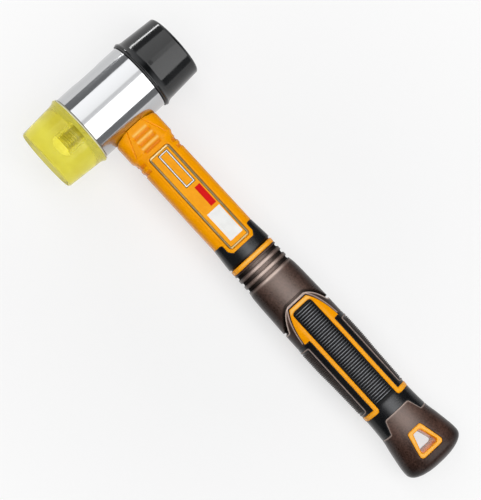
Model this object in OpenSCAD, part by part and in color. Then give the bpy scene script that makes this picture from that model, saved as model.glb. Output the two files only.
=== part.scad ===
// Soft face hammer: a chromed barrel on a glass fibre handle, with a screw-on soft face at each end.
// It lies on its side. X runs along the handle towards the butt, Y along the barrel towards the
// black face, Z is up. The origin is the middle of its footprint, on the surface that it lies on.

/* [Barrel] */
// Outside diameter of the chromed barrel
barrel_d = 42.8; // [38:0.2:44.6]
// Length of the barrel between its two end faces
barrel_l = 45.6; // [42:0.2:60]
// Wall of the barrel tube
barrel_wall = 3.2; // [2:0.1:5]
// Chamfer on the barrel's outer edges
barrel_chamfer = 0.6; // [0.2:0.1:1.2]
// Clearance between each steel end plug and the eye for the handle
plug_gap = 2.8; // [1:0.1:5]

/* [Screw-on faces] */
// Diameter of a face at its striking edge
face_d = 40; // [34:0.5:41]
// Length of a face from its seat to the striking plane
face_l = 26.4; // [20:0.2:34]
// Diameter of the flared collar at the seat
collar_d = 45.4; // [45:0.1:50]
// Length of the collar's straight land
collar_land = 1; // [0.5:0.1:2]
// Diameter where the flare runs out into the tapered body
flare_d = 42.6; // [41.2:0.1:44]
// Length of the flare along the face
flare_l = 4.6; // [3:0.1:7]
// Radius of the striking edge
edge_r = 1.6; // [0.6:0.1:3]
// Diameter of the threaded stud that a face screws on to
stud_d = 10; // [8:0.5:14]
// How far a stud stands out of the barrel's end face
stud_reach = 12.8; // [9:0.2:16]
// Running clearance between stud and face, on the radius
stud_clear = 0.06; // [0.02:0.01:0.1]
// Diameter of the thin seat washer under a face
washer_d = 44.4; // [43.4:0.1:44.8]
// Thickness of the seat washer
washer_t = 0.8; // [0.5:0.1:1.5]

/* [Core and eye] */
// Width of the glass fibre core, along the barrel
core_w = 20.4; // [16:0.2:21]
// Thickness of the glass fibre core
core_t = 11.4; // [8:0.2:12]
// Resin between the core and the barrel's eye
resin_t = 0.8; // [0.4:0.1:1.2]
// Distance from the lower end of the core to the end of the jacket
core_cover = 3.5; // [2:0.5:12]

/* [Handle lengths] */
// From the barrel's axis to the black collar
neck_l = 103.2; // [80:0.2:160]
// The black collar
collar_l = 15.2; // [12:0.2:20]
// The orange ring
ring_l = 3; // [2:0.1:5]
// The brown sleeve down to the crown of its arch
sleeve_l = 31.8; // [26:0.2:44]
// The wide head of the orange frame
frame_head_l = 20.7; // [17:0.2:30]
// The side pads with their black borders
side_l = 53.5; // [44:0.5:70]
// The feet of the orange frame
foot_l = 3.1; // [2:0.1:5]
// The black band above the butt cap, at the sides
band_l = 14.1; // [12:0.1:20]
// The butt cap, at the sides
cap_l = 31.5; // [29:0.5:40]

/* [Handle widths] */
// Width of the neck
neck_w = 27.7; // [26:0.1:29]
// Thickness of the neck
neck_t = 19; // [17:0.2:20]
// Width of the shoulder under the barrel
shoulder_w = 29.7; // [28:0.1:32]
// Thickness of the shoulder under the barrel
shoulder_t = 19.6; // [17.5:0.2:21]
// Width of the ring between neck and grip
ring_w = 30; // [29:0.1:31]
// Thickness of the ring between neck and grip
ring_t = 22; // [20:0.2:24]
// Width of the sleeve below its ribs
sleeve_w = 31.7; // [30.5:0.1:33]
// Greatest width of the grip
grip_w = 33.4; // [32:0.1:36]
// Greatest thickness of the grip
grip_t = 26; // [24:0.2:29]
// Width of the waist above the butt
waist_w = 31.2; // [30:0.1:33]
// Thickness of the waist above the butt
waist_t = 24.8; // [23:0.2:27]
// Greatest width of the flared butt
butt_w = 39.2; // [36:0.2:43]
// Greatest thickness of the butt
butt_t = 27; // [25:0.2:30]
// Thickness of the soft layers moulded over the jacket
overmould_t = 2; // [1.6:0.1:2.4]

/* [Hidden] */
$fn = 64;
overrun = 1;

// Head
barrel_r = barrel_d / 2;
bore_r = barrel_r - barrel_wall;
collar_r = collar_d / 2;
seat_y = barrel_l / 2 + washer_t;
washer_gap = 0.3;
stud_chamfer = 1;
thread_end_gap = 1;
eye_w = core_w + 2 * resin_t;
eye_t = core_t + 2 * resin_t;
plug_l = (barrel_l - eye_w) / 2 - plug_gap;
core_sink = 0.5;
core_top_x = core_sink - sqrt(pow(barrel_r, 2) - pow(eye_t / 2, 2));

// Places along the handle, from the barrel's axis
saddle_gap = 0.15;
shoulder_r = 3;
shoulder_rise = 1.4;
shoulder_l = 13.1;
shoulder_taper_l = 2.5;
neck_flare_l = 2.2;
ribs_l = 13.1;
swell_l = 3.5;
wide_share = 0.25;
low_share = 0.6;
butt_mid_share = 0.33;
cap_share = 0.15;
butt_round_l = 8.4;
shoulder_corner_x = barrel_r - shoulder_rise;
shoulder_start_x = shoulder_corner_x - 2 * shoulder_rise;
shoulder_end_x = barrel_r + shoulder_l;
neck_start_x = shoulder_end_x + shoulder_taper_l;
ring_x = neck_l + collar_l;
sleeve_x = ring_x + ring_l;
ribs_end_x = sleeve_x + ribs_l;
arch_x = sleeve_x + sleeve_l;
frame_gap = 2.9;
frame_x = arch_x + frame_gap;
side_x = frame_x + frame_head_l;
foot_x = side_x + side_l;
band_x = foot_x + foot_l;
cap_x = band_x + band_l;
handle_l = cap_x + cap_l;
butt_wide_x = handle_l - butt_round_l;
core_end_x = cap_x - core_cover;

// Squareness of the sections: 2 is an ellipse, more is squarer
neck_power = 3.4;
ring_power = 2.8;
grip_power = 2.4;
butt_power = 2.6;
butt_end_power = 2.6;
butt_end_steps = 6;
butt_end_share = 0.12;
sides = 40;

// The handle's sections from head to butt: place, width, thickness and squareness of each
HANDLE = concat(
  [[shoulder_start_x, shoulder_w - 2 * shoulder_r, shoulder_t, neck_power]],
  [for (a = [0:30:90]) [
    shoulder_corner_x + shoulder_r * (1 - cos(a)),
    shoulder_w - 2 * shoulder_r * (1 - sin(a)), shoulder_t, neck_power]],
  [
    [shoulder_end_x, shoulder_w, shoulder_t, neck_power],
    [neck_start_x, neck_w, neck_t, neck_power],
    [neck_l - neck_flare_l, neck_w, neck_t, neck_power],
    [ring_x, ring_w, ring_t, ring_power],
    [sleeve_x, ring_w, ring_t, ring_power],
    [ribs_end_x, mix(ring_w, sleeve_w, wide_share), mix(ring_t, grip_t, wide_share), ring_power],
    [ribs_end_x + swell_l, sleeve_w, mix(ring_t, grip_t, low_share), grip_power],
    [arch_x, mix(sleeve_w, grip_w, low_share), mix(waist_t, grip_t, low_share), grip_power],
    [side_x, grip_w, grip_t, grip_power],
    [mix(side_x, foot_x, wide_share), grip_w, grip_t, grip_power],
    [mix(side_x, foot_x, low_share), mix(grip_w, waist_w, low_share), mix(grip_t, waist_t, low_share), grip_power],
    [band_x, waist_w, waist_t, grip_power],
    [cap_x, mix(waist_w, butt_w, cap_share), mix(waist_t, butt_t, 1 - low_share), grip_power],
    [mix(cap_x, handle_l, butt_mid_share), mix(waist_w, butt_w, low_share), butt_t, butt_power]
  ],
  [for (i = [0:butt_end_steps - 1]) let (
    u = sin(90 * i / butt_end_steps),
    s = sqrt(1 - pow(u, butt_end_power))
  ) [mix(butt_wide_x, handle_l, u), butt_w * s, butt_t * s, butt_power]],
  [[handle_l, butt_w * butt_end_share, butt_t * butt_end_share, butt_power]]
);
LAST = len(HANDLE) - 1;

// Shoulder, neck and collar
plate_w = 11.4;
plate_end_w = 22.8;
plate_proud = 0.4;
groove_r = 2.2;
groove_depth = 0.7;
groove_pitch = 4.5;
groove_first = 4;
groove_count = 3;
notch_first = 2;
notch_pitch = 4.6;
notch_count = 2;
notch_l = 2.2;
notch_w = 20;
notch_depth = 0.7;
tongue_w = 19.2;
tongue_end_w = 15.6;
tongue_l = 7.9;
tongue_chamfer_l = 2.5;
tab_r = 1.6;
tongue_end_x = neck_l + tongue_l;
panel_gap = 0.5;
panel_tail = 2.2;
panel_x = neck_start_x + panel_gap;
panel_end_x = tongue_end_x - panel_tail;
panel_w = 15.4;
panel_r = 1.8;
panel_depth = 0.7;
sticker_margin = 1.7;
sticker_t = 0.2;

// Sleeve
rib_first = 2.5;
rib_pitch = 4.5;
rib_count = 3;
rib_groove_l = 2;
rib_groove_depth = 0.9;
arch_w = 12.8;
arch_l = 12.2;
arch_pull = 2.3;
arch_pull_w = 24.4;
arch_groove = 0.8;
arch_groove_depth = 1;

// Orange frame, black strip and side pads
frame_top_w = 12.8;
frame_step_w = 26;
frame_pull = 6.5;
frame_pull_w = 23;
frame_w = 19.3;
frame_band = 2.5;
frame_top_band = 3.2;
frame_inner_r = 1.4;
frame_proud = 0.25;
strip_w = frame_w - 2 * frame_band;
pad_gap = 2.3;
pad_foot_gap = 1;
pad_w = 25;
pad_r = 2;
pad_depth = 1.2;
pad_proud = 0.3;

// Butt cap and hanging hole
cap_tongue_l = 7.5;
cap_tongue_w = 17.8;
cap_tongue_foot_w = 23.6;
eyelet_drop = 5.4;
eyelet_l = 16.8;
eyelet_w = 10;
eyelet_end_w = 17.8;
eyelet_wall = 2.5;
eyelet_r = 1.4;
eyelet_end_r = 2.4;

// Reach of the cuts that go right through the handle
wide = max(butt_w, grip_w, shoulder_w) + 4 * overrun;
tall = collar_d;

// Curves and sections
function bezier(a, b, c, n = 8) = [for (i = [0:n]) let (t = i / n)
  (1 - t) * (1 - t) * a + 2 * t * (1 - t) * b + t * t * c];

function mix(a, b, share) = a + (b - a) * share;

function signed_power(v, p) = sign(v) * pow(abs(v), p);

function section(s, inset) = [for (k = [0:sides - 1]) let (a = 360 * k / sides) [
  s[0],
  (s[1] / 2 - inset) * signed_power(cos(a), 2 / s[3]),
  (s[2] / 2 - inset) * signed_power(sin(a), 2 / s[3])]];

function station_before(x) = max([for (i = [0:LAST]) if (i == 0 || HANDLE[i][0] <= x) i]);
function station_after(x) = min([for (i = [0:LAST]) if (i == LAST || HANDLE[i][0] >= x) i]);

// Solid of the handle's form between the sections that enclose two places, taken in by an inset
module handle_form(x_from, x_to, inset) {
  first = station_before(x_from);
  last = station_after(x_to);
  rings = last - first + 1;
  points = [for (i = [first:last]) each section(HANDLE[i], inset)];
  walls = [for (i = [0:rings - 2], k = [0:sides - 1]) let (m = (k + 1) % sides) each [
    [i * sides + k, (i + 1) * sides + m, i * sides + m],
    [i * sides + k, (i + 1) * sides + k, (i + 1) * sides + m]]];
  top = [for (k = [0:sides - 1]) k];
  bottom = [for (k = [sides - 1:-1:0]) (rings - 1) * sides + k];
  polyhedron(points, concat([top], walls, [bottom]));
}

// Tube of the handle's form, from one depth below its surface to another
module handle_skin(x_from, x_to, outer, inner) {
  difference() {
    handle_form(x_from, x_to, outer);
    handle_form(x_from, x_to, inner);
  }
}

// A plan outline taken right through the handle
module through() {
  translate([0, 0, -tall / 2]) linear_extrude(tall) children();
}

// The same outline on both sides of the handle's middle line
module both_sides() {
  children();
  mirror([0, 1, 0]) children();
}

module span(x_from, x_to, w = wide) {
  translate([x_from, -w / 2]) square([x_to - x_from, w]);
}

module rounded_span(x_from, x_to, w, r) {
  span(x_from + r, x_to - r, w);
  span(x_from, x_to, w - 2 * r);
  for (x = [x_from + r, x_to - r], y = [r - w / 2, w / 2 - r]) translate([x, y]) circle(r);
}

// Puts the hammer, drawn about the crossing of barrel and handle axes, in its own frame
module lay_down() {
  translate([(collar_r - handle_l) / 2, 0, collar_r]) children();
}

// Turns a revolved form on to one end of the barrel: -1 for the yellow end, 1 for the black end
module on_head_axis(end) {
  rotate([-90 * end, 0, 0]) children();
}

module stadium(w, t) {
  square([t, w - t], center = true);
  for (y = [(t - w) / 2, (w - t) / 2]) translate([0, y]) circle(t / 2);
}

// A bar of round-ended section along the handle's axis
module core_bar(w, t, x_from, x_to) {
  translate([x_from, 0, 0]) rotate([0, 90, 0]) linear_extrude(x_to - x_from) stadium(w, t);
}

// Head

module head_barrel() {
  color("gainsboro") lay_down() difference() {
    on_head_axis(1) rotate_extrude() polygon([
      [bore_r, -barrel_l / 2],
      [barrel_r - barrel_chamfer, -barrel_l / 2],
      [barrel_r, barrel_chamfer - barrel_l / 2],
      [barrel_r, barrel_l / 2 - barrel_chamfer],
      [barrel_r - barrel_chamfer, barrel_l / 2],
      [bore_r, barrel_l / 2]]);
    core_bar(eye_w, eye_t, -barrel_d, barrel_d);
  }
}

module end_plug(end) {
  color("darkgray") lay_down() on_head_axis(end) translate([0, 0, barrel_l / 2 - plug_l]) difference() {
    cylinder(h = plug_l, r = bore_r);
    translate([0, 0, -overrun]) cylinder(h = plug_l + 2 * overrun, d = stud_d);
  }
}

module end_stud(end) {
  stud_l = plug_l + stud_reach;
  color("silver") lay_down() on_head_axis(end) translate([0, 0, barrel_l / 2 - plug_l])
    rotate_extrude() polygon([
      [0, 0], [stud_d / 2, 0], [stud_d / 2, stud_l - stud_chamfer],
      [stud_d / 2 - stud_chamfer, stud_l], [0, stud_l]]);
}

module seat_washer(end, tone) {
  color(tone) lay_down() on_head_axis(end) translate([0, 0, barrel_l / 2]) difference() {
    cylinder(h = washer_t, d = washer_d);
    translate([0, 0, -overrun]) cylinder(h = washer_t + 2 * overrun, d = stud_d + 2 * washer_gap);
  }
}

// Half section of a face, from its seat at the axis out to the collar and round to the striking plane
function face_outline() = let (
    flare_r = flare_d / 2,
    flare_pull = collar_land + flare_l / 3,
    flare = bezier([collar_r, collar_land], [flare_r, flare_pull], [flare_r, collar_land + flare_l]),
    edge = [for (a = [0:15:90]) [face_d / 2 - edge_r * (1 - cos(a)), face_l - edge_r * (1 - sin(a))]]
  ) concat([[0, 0], [collar_r, 0]], flare, edge, [[0, face_l]]);

module soft_face(end, tone) {
  hole_l = stud_reach - washer_t + thread_end_gap;
  color(tone) lay_down() on_head_axis(end) translate([0, 0, seat_y]) difference() {
    rotate_extrude() polygon(face_outline());
    translate([0, 0, -overrun]) cylinder(h = hole_l + overrun, r = stud_d / 2 + stud_clear);
  }
}

module eye_resin() {
  color("dimgray") lay_down() difference() {
    intersection() {
      core_bar(eye_w, eye_t, core_top_x, barrel_r);
      on_head_axis(1) cylinder(h = eye_w, r = barrel_r, center = true);
    }
    core_bar(core_w, core_t, core_top_x - overrun, barrel_r + overrun);
  }
}

// Handle

module glass_fibre_core() {
  color("khaki") lay_down() core_bar(core_w, core_t, core_top_x, core_end_x);
}

// Plan outlines of the coloured zones

module plate_outline() {
  polygon([
    [shoulder_start_x, -plate_w / 2], [shoulder_end_x, -plate_end_w / 2],
    [shoulder_end_x, plate_end_w / 2], [shoulder_start_x, plate_w / 2]]);
}

module notch_outline() {
  for (i = [0:notch_count - 1]) both_sides()
    translate([neck_start_x + notch_first + i * notch_pitch, notch_w / 2]) square([notch_l, wide / 2]);
}

module tongue_outline() {
  shoulder = tongue_end_x - tongue_chamfer_l;
  polygon([
    [0, -tongue_w / 2], [shoulder, -tongue_w / 2], [tongue_end_x, -tongue_end_w / 2],
    [tongue_end_x, tongue_end_w / 2], [shoulder, tongue_w / 2], [0, tongue_w / 2]]);
}

module collar_outline() {
  offset(r = tab_r, $fn = 24) offset(delta = -tab_r) difference() {
    span(neck_l, ring_x);
    tongue_outline();
  }
  span(mix(tongue_end_x, ring_x, low_share), ring_x);
}

module below_arch_outline(shift = 0) {
  foot = arch_x + arch_l;
  curve = bezier([arch_x, arch_w / 2], [arch_x + arch_pull, arch_pull_w / 2], [foot, sleeve_w / 2]);
  translate([shift, 0]) both_sides()
    polygon(concat([[arch_x, 0]], curve, [[foot, wide / 2], [side_x, wide / 2], [side_x, 0]]));
}

module frame_outline() {
  pull_x = frame_x + frame_pull;
  flank = bezier([frame_x, frame_top_w / 2], [pull_x, frame_pull_w / 2], [side_x, frame_step_w / 2]);
  both_sides() polygon(concat([[frame_x, 0]], flank, [[side_x, 0]]));
  span(side_x, band_x, frame_w);
  span(foot_x, band_x);
}

module strip_outline() {
  top = frame_x + frame_top_band;
  rounded_span(top, foot_x, strip_w, frame_inner_r);
  span(mix(top, foot_x, low_share), cap_x, strip_w);
}

module side_outline() {
  translate([side_x, frame_w / 2]) square([side_l, (wide - frame_w) / 2]);
}

module pad_outline() {
  pad_x = side_x + pad_gap;
  pad_end_x = foot_x - pad_foot_gap;
  intersection() {
    translate([0, (pad_w + wide) / 2]) rounded_span(pad_x, pad_end_x, wide, pad_r);
    translate([pad_x, 0]) square([pad_end_x - pad_x, wide / 2]);
  }
}

module cap_outline() {
  end = handle_l + overrun;
  tongue_x = cap_x - cap_tongue_l;
  polygon([
    [tongue_x, -cap_tongue_w / 2], [tongue_x, cap_tongue_w / 2], [cap_x, cap_tongue_foot_w / 2],
    [cap_x, wide / 2], [end, wide / 2], [end, -wide / 2], [cap_x, -wide / 2],
    [cap_x, -cap_tongue_foot_w / 2]]);
}

module eyelet_outline(inset) {
  top = cap_x + eyelet_drop + inset;
  bottom = cap_x + eyelet_drop + eyelet_l - inset;
  r = eyelet_r - inset / 4;
  end_r = eyelet_end_r - inset / 4;
  hull() for (side = [-1, 1]) {
    translate([top + r, side * (eyelet_w / 2 - inset - r)]) circle(r, $fn = 32);
    translate([bottom - end_r, side * (eyelet_end_w / 2 - inset - end_r)]) circle(end_r, $fn = 32);
  }
}

module orange_jacket() {
  color("darkorange") lay_down() difference() {
    union() {
      intersection() {
        handle_form(shoulder_start_x, ring_x, 0);
        through() difference() {
          span(0, ring_x);
          collar_outline();
        }
      }
      intersection() {
        handle_form(shoulder_start_x, shoulder_end_x, -plate_proud);
        through() plate_outline();
      }
      intersection() {
        handle_form(neck_l, cap_x, overmould_t);
        through() span(neck_l, cap_x);
      }
      intersection() {
        handle_form(ring_x, sleeve_x, 0);
        through() span(ring_x, sleeve_x);
      }
      intersection() {
        handle_form(frame_x, band_x, -frame_proud);
        through() difference() {
          frame_outline();
          strip_outline();
        }
      }
    }
    core_bar(core_w, core_t, -barrel_d, core_end_x);
    on_head_axis(1) cylinder(h = wide, r = barrel_r + saddle_gap, center = true);
    for (face = [-1, 1]) scale([1, 1, face]) {
      translate([0, 0, neck_t / 2 - panel_depth]) linear_extrude(tall)
        rounded_span(panel_x, panel_end_x, panel_w, panel_r);
      groove_z = shoulder_t / 2 + plate_proud + groove_r - groove_depth;
      for (i = [0:groove_count - 1]) translate([barrel_r + groove_first + i * groove_pitch, 0, groove_z])
        rotate([90, 0, 0]) cylinder(h = panel_w, r = groove_r, center = true);
    }
    intersection() {
      handle_skin(neck_start_x, neck_l - neck_flare_l, -overrun, notch_depth);
      through() notch_outline();
    }
  }
}

module label_sticker() {
  color("orange") lay_down() translate([0, 0, neck_t / 2 - panel_depth]) linear_extrude(sticker_t)
    span(panel_x + sticker_margin, panel_end_x - sticker_margin, panel_w - 2 * sticker_margin);
}

module black_collar() {
  color("#202022") lay_down() intersection() {
    handle_skin(neck_l, ring_x, 0, overmould_t);
    through() collar_outline();
  }
}

module black_grip() {
  color("#202022") lay_down() intersection() {
    handle_skin(frame_x, cap_x, 0, overmould_t);
    through() difference() {
      union() {
        strip_outline();
        span(band_x, cap_x);
      }
      cap_outline();
    }
  }
}

// One side of the grip is drawn at the black face's side, and turned over for the other
module on_side(side) {
  mirror([0, side < 0 ? 1 : 0, 0]) children();
}

module grip_side(side) {
  color("#202022") lay_down() on_side(side) difference() {
    intersection() {
      handle_skin(side_x, foot_x, 0, overmould_t);
      through() side_outline();
    }
    intersection() {
      handle_skin(side_x, foot_x, -overrun, pad_depth);
      through() pad_outline();
    }
  }
}

module side_pad(side) {
  color("#4a3a34") lay_down() on_side(side) intersection() {
    handle_skin(side_x, foot_x, -pad_proud, pad_depth);
    through() pad_outline();
  }
}

module brown_sleeve() {
  color("#4a3a34") lay_down() difference() {
    intersection() {
      handle_skin(sleeve_x, side_x, 0, overmould_t);
      through() difference() {
        span(sleeve_x, side_x);
        frame_outline();
      }
    }
    intersection() {
      handle_skin(sleeve_x, ribs_end_x, -overrun, rib_groove_depth);
      through() for (i = [0:rib_count - 1]) translate([sleeve_x + rib_first + i * rib_pitch, 0])
        span(-rib_groove_l / 2, rib_groove_l / 2);
    }
    intersection() {
      handle_skin(arch_x, side_x, -overrun, arch_groove_depth);
      through() difference() {
        below_arch_outline();
        below_arch_outline(arch_groove);
      }
    }
  }
}

module butt_cap() {
  color("#4a3a34") lay_down() difference() {
    intersection() {
      handle_form(cap_x - cap_tongue_l, handle_l, 0);
      through() cap_outline();
    }
    handle_form(band_x, cap_x, overmould_t);
    through() eyelet_outline(0);
  }
}

module hang_hole_eyelet() {
  color("darkorange") lay_down() intersection() {
    handle_form(cap_x, handle_l, 0);
    through() difference() {
      eyelet_outline(0);
      eyelet_outline(eyelet_wall);
    }
  }
}

head_barrel();
end_plug(-1);  // yellow_end_plug
end_plug(1);  // black_end_plug
end_stud(-1);  // yellow_end_stud
end_stud(1);  // black_end_stud
seat_washer(-1, "beige");  // yellow_seat_washer
seat_washer(1, "#303030");  // black_seat_washer
soft_face(-1, "gold");  // yellow_face
soft_face(1, "#262626");  // black_face
eye_resin();
glass_fibre_core();
orange_jacket();
label_sticker();
black_collar();
black_grip();
grip_side(-1);  // grip_side_left
grip_side(1);  // grip_side_right
brown_sleeve();
side_pad(-1);  // side_pad_left
side_pad(1);  // side_pad_right
butt_cap();
hang_hole_eyelet();
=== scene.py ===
import math

import bmesh
import bpy
import numpy as np
from mathutils import Matrix, Vector
from mathutils.geometry import delaunay_2d_cdt


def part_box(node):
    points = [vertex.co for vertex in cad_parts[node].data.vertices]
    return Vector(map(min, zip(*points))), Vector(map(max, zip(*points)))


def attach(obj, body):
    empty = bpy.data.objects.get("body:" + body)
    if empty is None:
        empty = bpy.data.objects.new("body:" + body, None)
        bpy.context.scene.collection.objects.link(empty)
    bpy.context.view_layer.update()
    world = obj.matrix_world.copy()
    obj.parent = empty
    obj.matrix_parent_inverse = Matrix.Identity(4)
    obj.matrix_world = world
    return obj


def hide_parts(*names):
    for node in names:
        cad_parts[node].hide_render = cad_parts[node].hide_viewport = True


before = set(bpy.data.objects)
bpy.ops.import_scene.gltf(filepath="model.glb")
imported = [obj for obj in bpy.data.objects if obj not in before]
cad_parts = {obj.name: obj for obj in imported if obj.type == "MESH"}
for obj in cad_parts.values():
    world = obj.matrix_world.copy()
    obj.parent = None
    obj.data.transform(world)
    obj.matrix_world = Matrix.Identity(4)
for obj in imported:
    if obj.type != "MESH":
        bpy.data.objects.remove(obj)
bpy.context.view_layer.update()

# Barrel: a steel tube with bright chrome plate, bored across for the handle.
# It is turned, chamfered at both ends, and the eye for the handle is cut right through it.
# Plate of this kind is a mirror with faint polishing lines and finger marks.
CHROME_TONE = (0.55, 0.555, 0.565)
BARREL_WALL, BARREL_CHAMFER, BARREL_STEPS = 0.0032, 0.0006, 288
EYE_W, EYE_T, EYE_STEPS = 0.0220, 0.0130, 96

barrel_low, barrel_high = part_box("head_barrel")
head_x = (barrel_low[0] + barrel_high[0]) / 2
head_z = (barrel_low[2] + barrel_high[2]) / 2
barrel_r = (barrel_high[2] - barrel_low[2]) / 2
barrel_half = (barrel_high[1] - barrel_low[1]) / 2


# A material with its plain values; sockets holds any further constants of its shader
def new_material(name, tone, roughness, metallic=0.0, sockets=None):
    material = bpy.data.materials.new(name)
    material.use_nodes = True
    values = {"Base Color": (*tone, 1.0), "Roughness": roughness, "Metallic": metallic}
    values.update(sockets or {})
    shader = material.node_tree.nodes["Principled BSDF"]
    for socket, value in values.items():
        shader.inputs[socket].default_value = value
    return material


def nodes_of(material):
    return material.node_tree, material.node_tree.nodes["Principled BSDF"]


def new_group(name, inputs, outputs):
    group = bpy.data.node_groups.new(name, "ShaderNodeTree")
    for socket, value in inputs.items():
        kind = "NodeSocketColor" if isinstance(value, tuple) else "NodeSocketFloat"
        made = group.interface.new_socket(socket, in_out="INPUT", socket_type=kind)
        made.default_value = value
    for socket, kind in outputs.items():
        group.interface.new_socket(socket, in_out="OUTPUT", socket_type=kind)
    return group, group.nodes.new("NodeGroupInput"), group.nodes.new("NodeGroupOutput")


# Adds a node; links gives each named or numbered socket a value or another node's output
def add_node(tree, kind, links=None, **settings):
    node = tree.nodes.new(kind)
    for setting, value in settings.items():
        setattr(node, setting, value)
    for socket, source in (links or {}).items():
        target = node.inputs[socket]
        if hasattr(source, "is_linked"):
            tree.links.new(source, target)
        else:
            target.default_value = source
    return node


def ramp(tree, source, low, high, to_low, to_high):
    return add_node(tree, "ShaderNodeMapRange", {
        "Value": source, "From Min": low, "From Max": high,
        "To Min": to_low, "To Max": to_high}).outputs["Result"]


def object_place(tree):
    return add_node(tree, "ShaderNodeTexCoord").outputs["Object"]


def add_noise(tree, place, scale, detail, roughness=0.5, distortion=0.0):
    return add_node(tree, "ShaderNodeTexNoise", {
        "Vector": place, "Scale": scale, "Detail": detail, "Roughness": roughness,
        "Distortion": distortion}).outputs["Fac"]


def add_bump(tree, shader, height, strength, distance):
    bump = add_node(tree, "ShaderNodeBump", {"Height": height, "Strength": strength, "Distance": distance})
    tree.links.new(bump.outputs["Normal"], shader.inputs["Normal"])


# Finger marks and polishing haze: a soft, patchy change of gloss over a smooth surface
def make_haze_group():
    group, into, out = new_group(
        "handling_haze",
        {"Scale": 60.0, "Along": 1.0, "Low": 0.05, "High": 0.12},
        {"Roughness": "NodeSocketFloat", "Height": "NodeSocketFloat"})
    draw = add_node(group, "ShaderNodeCombineXYZ", {"X": 1.0, "Y": into.outputs["Along"], "Z": 1.0})
    drawn = add_node(group, "ShaderNodeVectorMath", {
        0: object_place(group), 1: draw.outputs["Vector"]}, operation="MULTIPLY")
    patches = add_noise(group, drawn.outputs["Vector"], into.outputs["Scale"], 5.0, 0.6)
    gloss = ramp(group, patches, 0.35, 0.7, into.outputs["Low"], into.outputs["High"])
    group.links.new(gloss, out.inputs["Roughness"])
    group.links.new(patches, out.inputs["Height"])
    return group


haze_group = make_haze_group()


# low and high are the roughness at its glossiest and dullest, along draws the patches out
def add_haze(material, scale, low, high, bump=0.0, distance=0.0001, along=1.0):
    tree, shader = nodes_of(material)
    haze = add_node(tree, "ShaderNodeGroup", {
        "Scale": scale, "Along": along, "Low": low, "High": high}, node_tree=haze_group)
    tree.links.new(haze.outputs["Roughness"], shader.inputs["Roughness"])
    if bump:
        add_bump(tree, shader, haze.outputs["Height"], bump, distance)


chrome = new_material("chrome_plate", CHROME_TONE, 0.06, 1.0)
add_haze(chrome, scale=260.0, low=0.07, high=0.15, bump=0.03, distance=0.00003, along=0.12)


# Turns a shape into a named piece that rides on a body and stands for its node
def fit_piece(shape, name, materials, body, node, sharp_deg=38.0):
    bmesh.ops.recalc_face_normals(shape, faces=shape.faces)
    for face in shape.faces:
        face.smooth = True
    for edge in shape.edges:
        edge.smooth = len(edge.link_faces) == 2 and edge.calc_face_angle(0.0) < math.radians(sharp_deg)
    mesh = bpy.data.meshes.new(name)
    shape.to_mesh(mesh)
    shape.free()
    for material in materials:
        mesh.materials.append(material)
    piece = bpy.data.objects.new(name, mesh)
    bpy.context.scene.collection.objects.link(piece)
    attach(piece, body)
    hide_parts(node)
    return piece


# A grid of points, row by row, becomes a tube closed round its columns and capped at its ends
def ring_grid(points, cap_start=True, cap_end=True):
    shape = bmesh.new()
    rows, columns = points.shape[:2]
    verts = [[shape.verts.new(points[i, k]) for k in range(columns)] for i in range(rows)]
    for i in range(rows - 1):
        for k in range(columns):
            m = (k + 1) % columns
            shape.faces.new((verts[i][k], verts[i][m], verts[i + 1][m], verts[i + 1][k]))
    if cap_start:
        shape.faces.new(verts[0][::-1])
    if cap_end:
        shape.faces.new(verts[-1])
    return shape


def full_turn(steps):
    return np.linspace(0, 2 * math.pi, steps, endpoint=False)


# Points turned about the barrel's axis; end is -1 for the yellow end and 1 for the black end
def head_points(radius, along, angle, end):
    radius, along, angle = np.broadcast_arrays(radius, along, angle)
    x = head_x + radius * np.cos(angle)
    z = head_z - end * radius * np.sin(angle)
    return np.stack([x, end * along, z], axis=-1)


# Cuts one closed shape out of another
def cut_through(shape, tool):
    forms = []
    for form in (shape, tool):
        mesh = bpy.data.meshes.new("cutting")
        bmesh.ops.recalc_face_normals(form, faces=form.faces)
        form.to_mesh(mesh)
        form.free()
        forms.append(bpy.data.objects.new("cutting", mesh))
        bpy.context.scene.collection.objects.link(forms[-1])
    saw = forms[0].modifiers.new("eye", "BOOLEAN")
    saw.object, saw.operation, saw.solver = forms[1], "DIFFERENCE", "EXACT"
    made = forms[0].evaluated_get(bpy.context.evaluated_depsgraph_get())
    result = bmesh.new()
    result.from_mesh(made.to_mesh())
    made.to_mesh_clear()
    for form in forms:
        mesh = form.data
        bpy.data.objects.remove(form)
        bpy.data.meshes.remove(mesh)
    return result


bore_r = barrel_r - BARREL_WALL
rim_r = barrel_r - BARREL_CHAMFER
land = barrel_half - BARREL_CHAMFER
barrel_profile = np.array([
    (bore_r, -barrel_half), (rim_r, -barrel_half), (barrel_r, -land), (barrel_r, land),
    (rim_r, barrel_half), (bore_r, barrel_half), (bore_r, -barrel_half)])
tube_points = head_points(barrel_profile[:, :1], barrel_profile[:, 1:], full_turn(BARREL_STEPS), 1)
tube = ring_grid(tube_points, False, False)
bmesh.ops.remove_doubles(tube, verts=tube.verts, dist=1e-7)
eye_turn = np.linspace(-0.5 * math.pi, 1.5 * math.pi, EYE_STEPS, endpoint=False)
eye_y = EYE_T / 2 * np.cos(eye_turn) + np.sign(np.cos(eye_turn)) * (EYE_W - EYE_T) / 2
eye_z = head_z + EYE_T / 2 * np.sin(eye_turn)
eye_ends = [
    np.stack([np.full_like(eye_y, head_x + reach), eye_y, eye_z], axis=-1)
    for reach in (-2 * barrel_r, 2 * barrel_r)]
barrel = cut_through(tube, ring_grid(np.array(eye_ends)))
fit_piece(barrel, "chromed_barrel", [chrome], "hammer", "head_barrel")

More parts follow.
